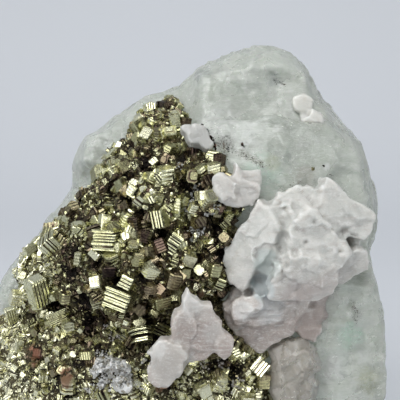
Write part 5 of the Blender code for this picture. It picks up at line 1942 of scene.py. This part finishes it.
class SPECIMEN_OT_stage(bpy.types.Operator):
    """Make the paper floor, the soft lights and the camera"""

    bl_idname = "specimen.stage"
    bl_label = "Floor, light and camera"

    def execute(self, context):
        look = context.scene.stage_look
        scene = context.scene
        scene.view_settings.view_transform = "Standard"
        profile = [(FLOOR_FRONT, 0.0), (CURVE_START, 0.0)]
        for number in range(1, CURVE_STEPS + 1):
            angle = math.radians(90 * number / CURVE_STEPS)
            profile.append((CURVE_START + CURVE_RADIUS * math.sin(angle),
                            CURVE_RADIUS * (1 - math.cos(angle))))
        profile.append((CURVE_START + CURVE_RADIUS, BACK_TOP))
        sides = (-FLOOR_HALF_WIDTH, FLOOR_HALF_WIDTH)
        points = [(x, y, z) for y, z in profile for x in sides]
        faces = [(2 * n, 2 * n + 1, 2 * n + 3, 2 * n + 2) for n in range(len(profile) - 1)]
        floor = link_new("paper_floor", mesh_from("paper_floor", points, faces, placed=False))
        floor.data.materials.append(paper_material(look))
        floor.data.polygons.foreach_set("use_smooth", [True] * len(floor.data.polygons))

        aim = metres(AIM)
        for name, place, size, setting in LIGHTS:
            lamp = bpy.data.lights.new(name, "AREA")
            lamp.shape = "SQUARE"
            lamp.size = size * MM
            lamp.energy = getattr(look, setting)
            made = bpy.data.objects.new(name, lamp)
            scene.collection.objects.link(made)
            made.location = metres(place)
            made.rotation_euler = (aim - made.location).to_track_quat("-Z", "Y").to_euler()

        scene.world = studio_world()

        camera = bpy.data.cameras.new("camera")
        camera.lens = LENS
        camera.sensor_width = SENSOR
        camera.clip_start = CLIP_START
        camera.dof.use_dof = False
        made = bpy.data.objects.new("camera", camera)
        scene.collection.objects.link(made)
        made.location = camera_place()
        made.rotation_euler = (math.radians(90 - AIM_HEIGHT_ANGLE), 0.0, 0.0)
        scene.camera = made
        return {"FINISHED"}


OPERATORS = (
    SPECIMEN_OT_fluorite, SPECIMEN_OT_carbonate, SPECIMEN_OT_clear_crystal,
    SPECIMEN_OT_pyrite_bed, SPECIMEN_OT_large_crystals, SPECIMEN_OT_pyrite_crystals,
    SPECIMEN_OT_druse, SPECIMEN_OT_specks, SPECIMEN_OT_stage,
)
LOOKS = {
    "fluorite_look": FluoriteLook, "pyrite_look": PyriteLook, "carbonate_look": CarbonateLook,
    "stage_look": StageLook,
}


class SPECIMEN_PT_panel(bpy.types.Panel):
    """Sizes, colours and pieces of the specimen"""

    bl_label = "Fluorite with pyrite"
    bl_idname = "SPECIMEN_PT_panel"
    bl_space_type = "VIEW_3D"
    bl_region_type = "UI"
    bl_category = "Specimen"

    def draw(self, context):
        for name, group in LOOKS.items():
            box = self.layout.box()
            box.label(text=group.__doc__.rstrip("."))
            for setting in group.__annotations__:
                box.prop(getattr(context.scene, name), setting)
        for operator in OPERATORS:
            self.layout.operator(operator.bl_idname)


def register():
    for group in (*LOOKS.values(), *OPERATORS, SPECIMEN_PT_panel):
        bpy.utils.register_class(group)
    for name, group in LOOKS.items():
        setattr(bpy.types.Scene, name, PointerProperty(type=group))


def unregister():
    for name in LOOKS:
        delattr(bpy.types.Scene, name)
    for group in reversed((*LOOKS.values(), *OPERATORS, SPECIMEN_PT_panel)):
        bpy.utils.unregister_class(group)


def main():
    register()
    for operator in OPERATORS:
        name = operator.bl_idname.split(".")[1]
        getattr(bpy.ops.specimen, name)()


if __name__ == "__main__":
    main()
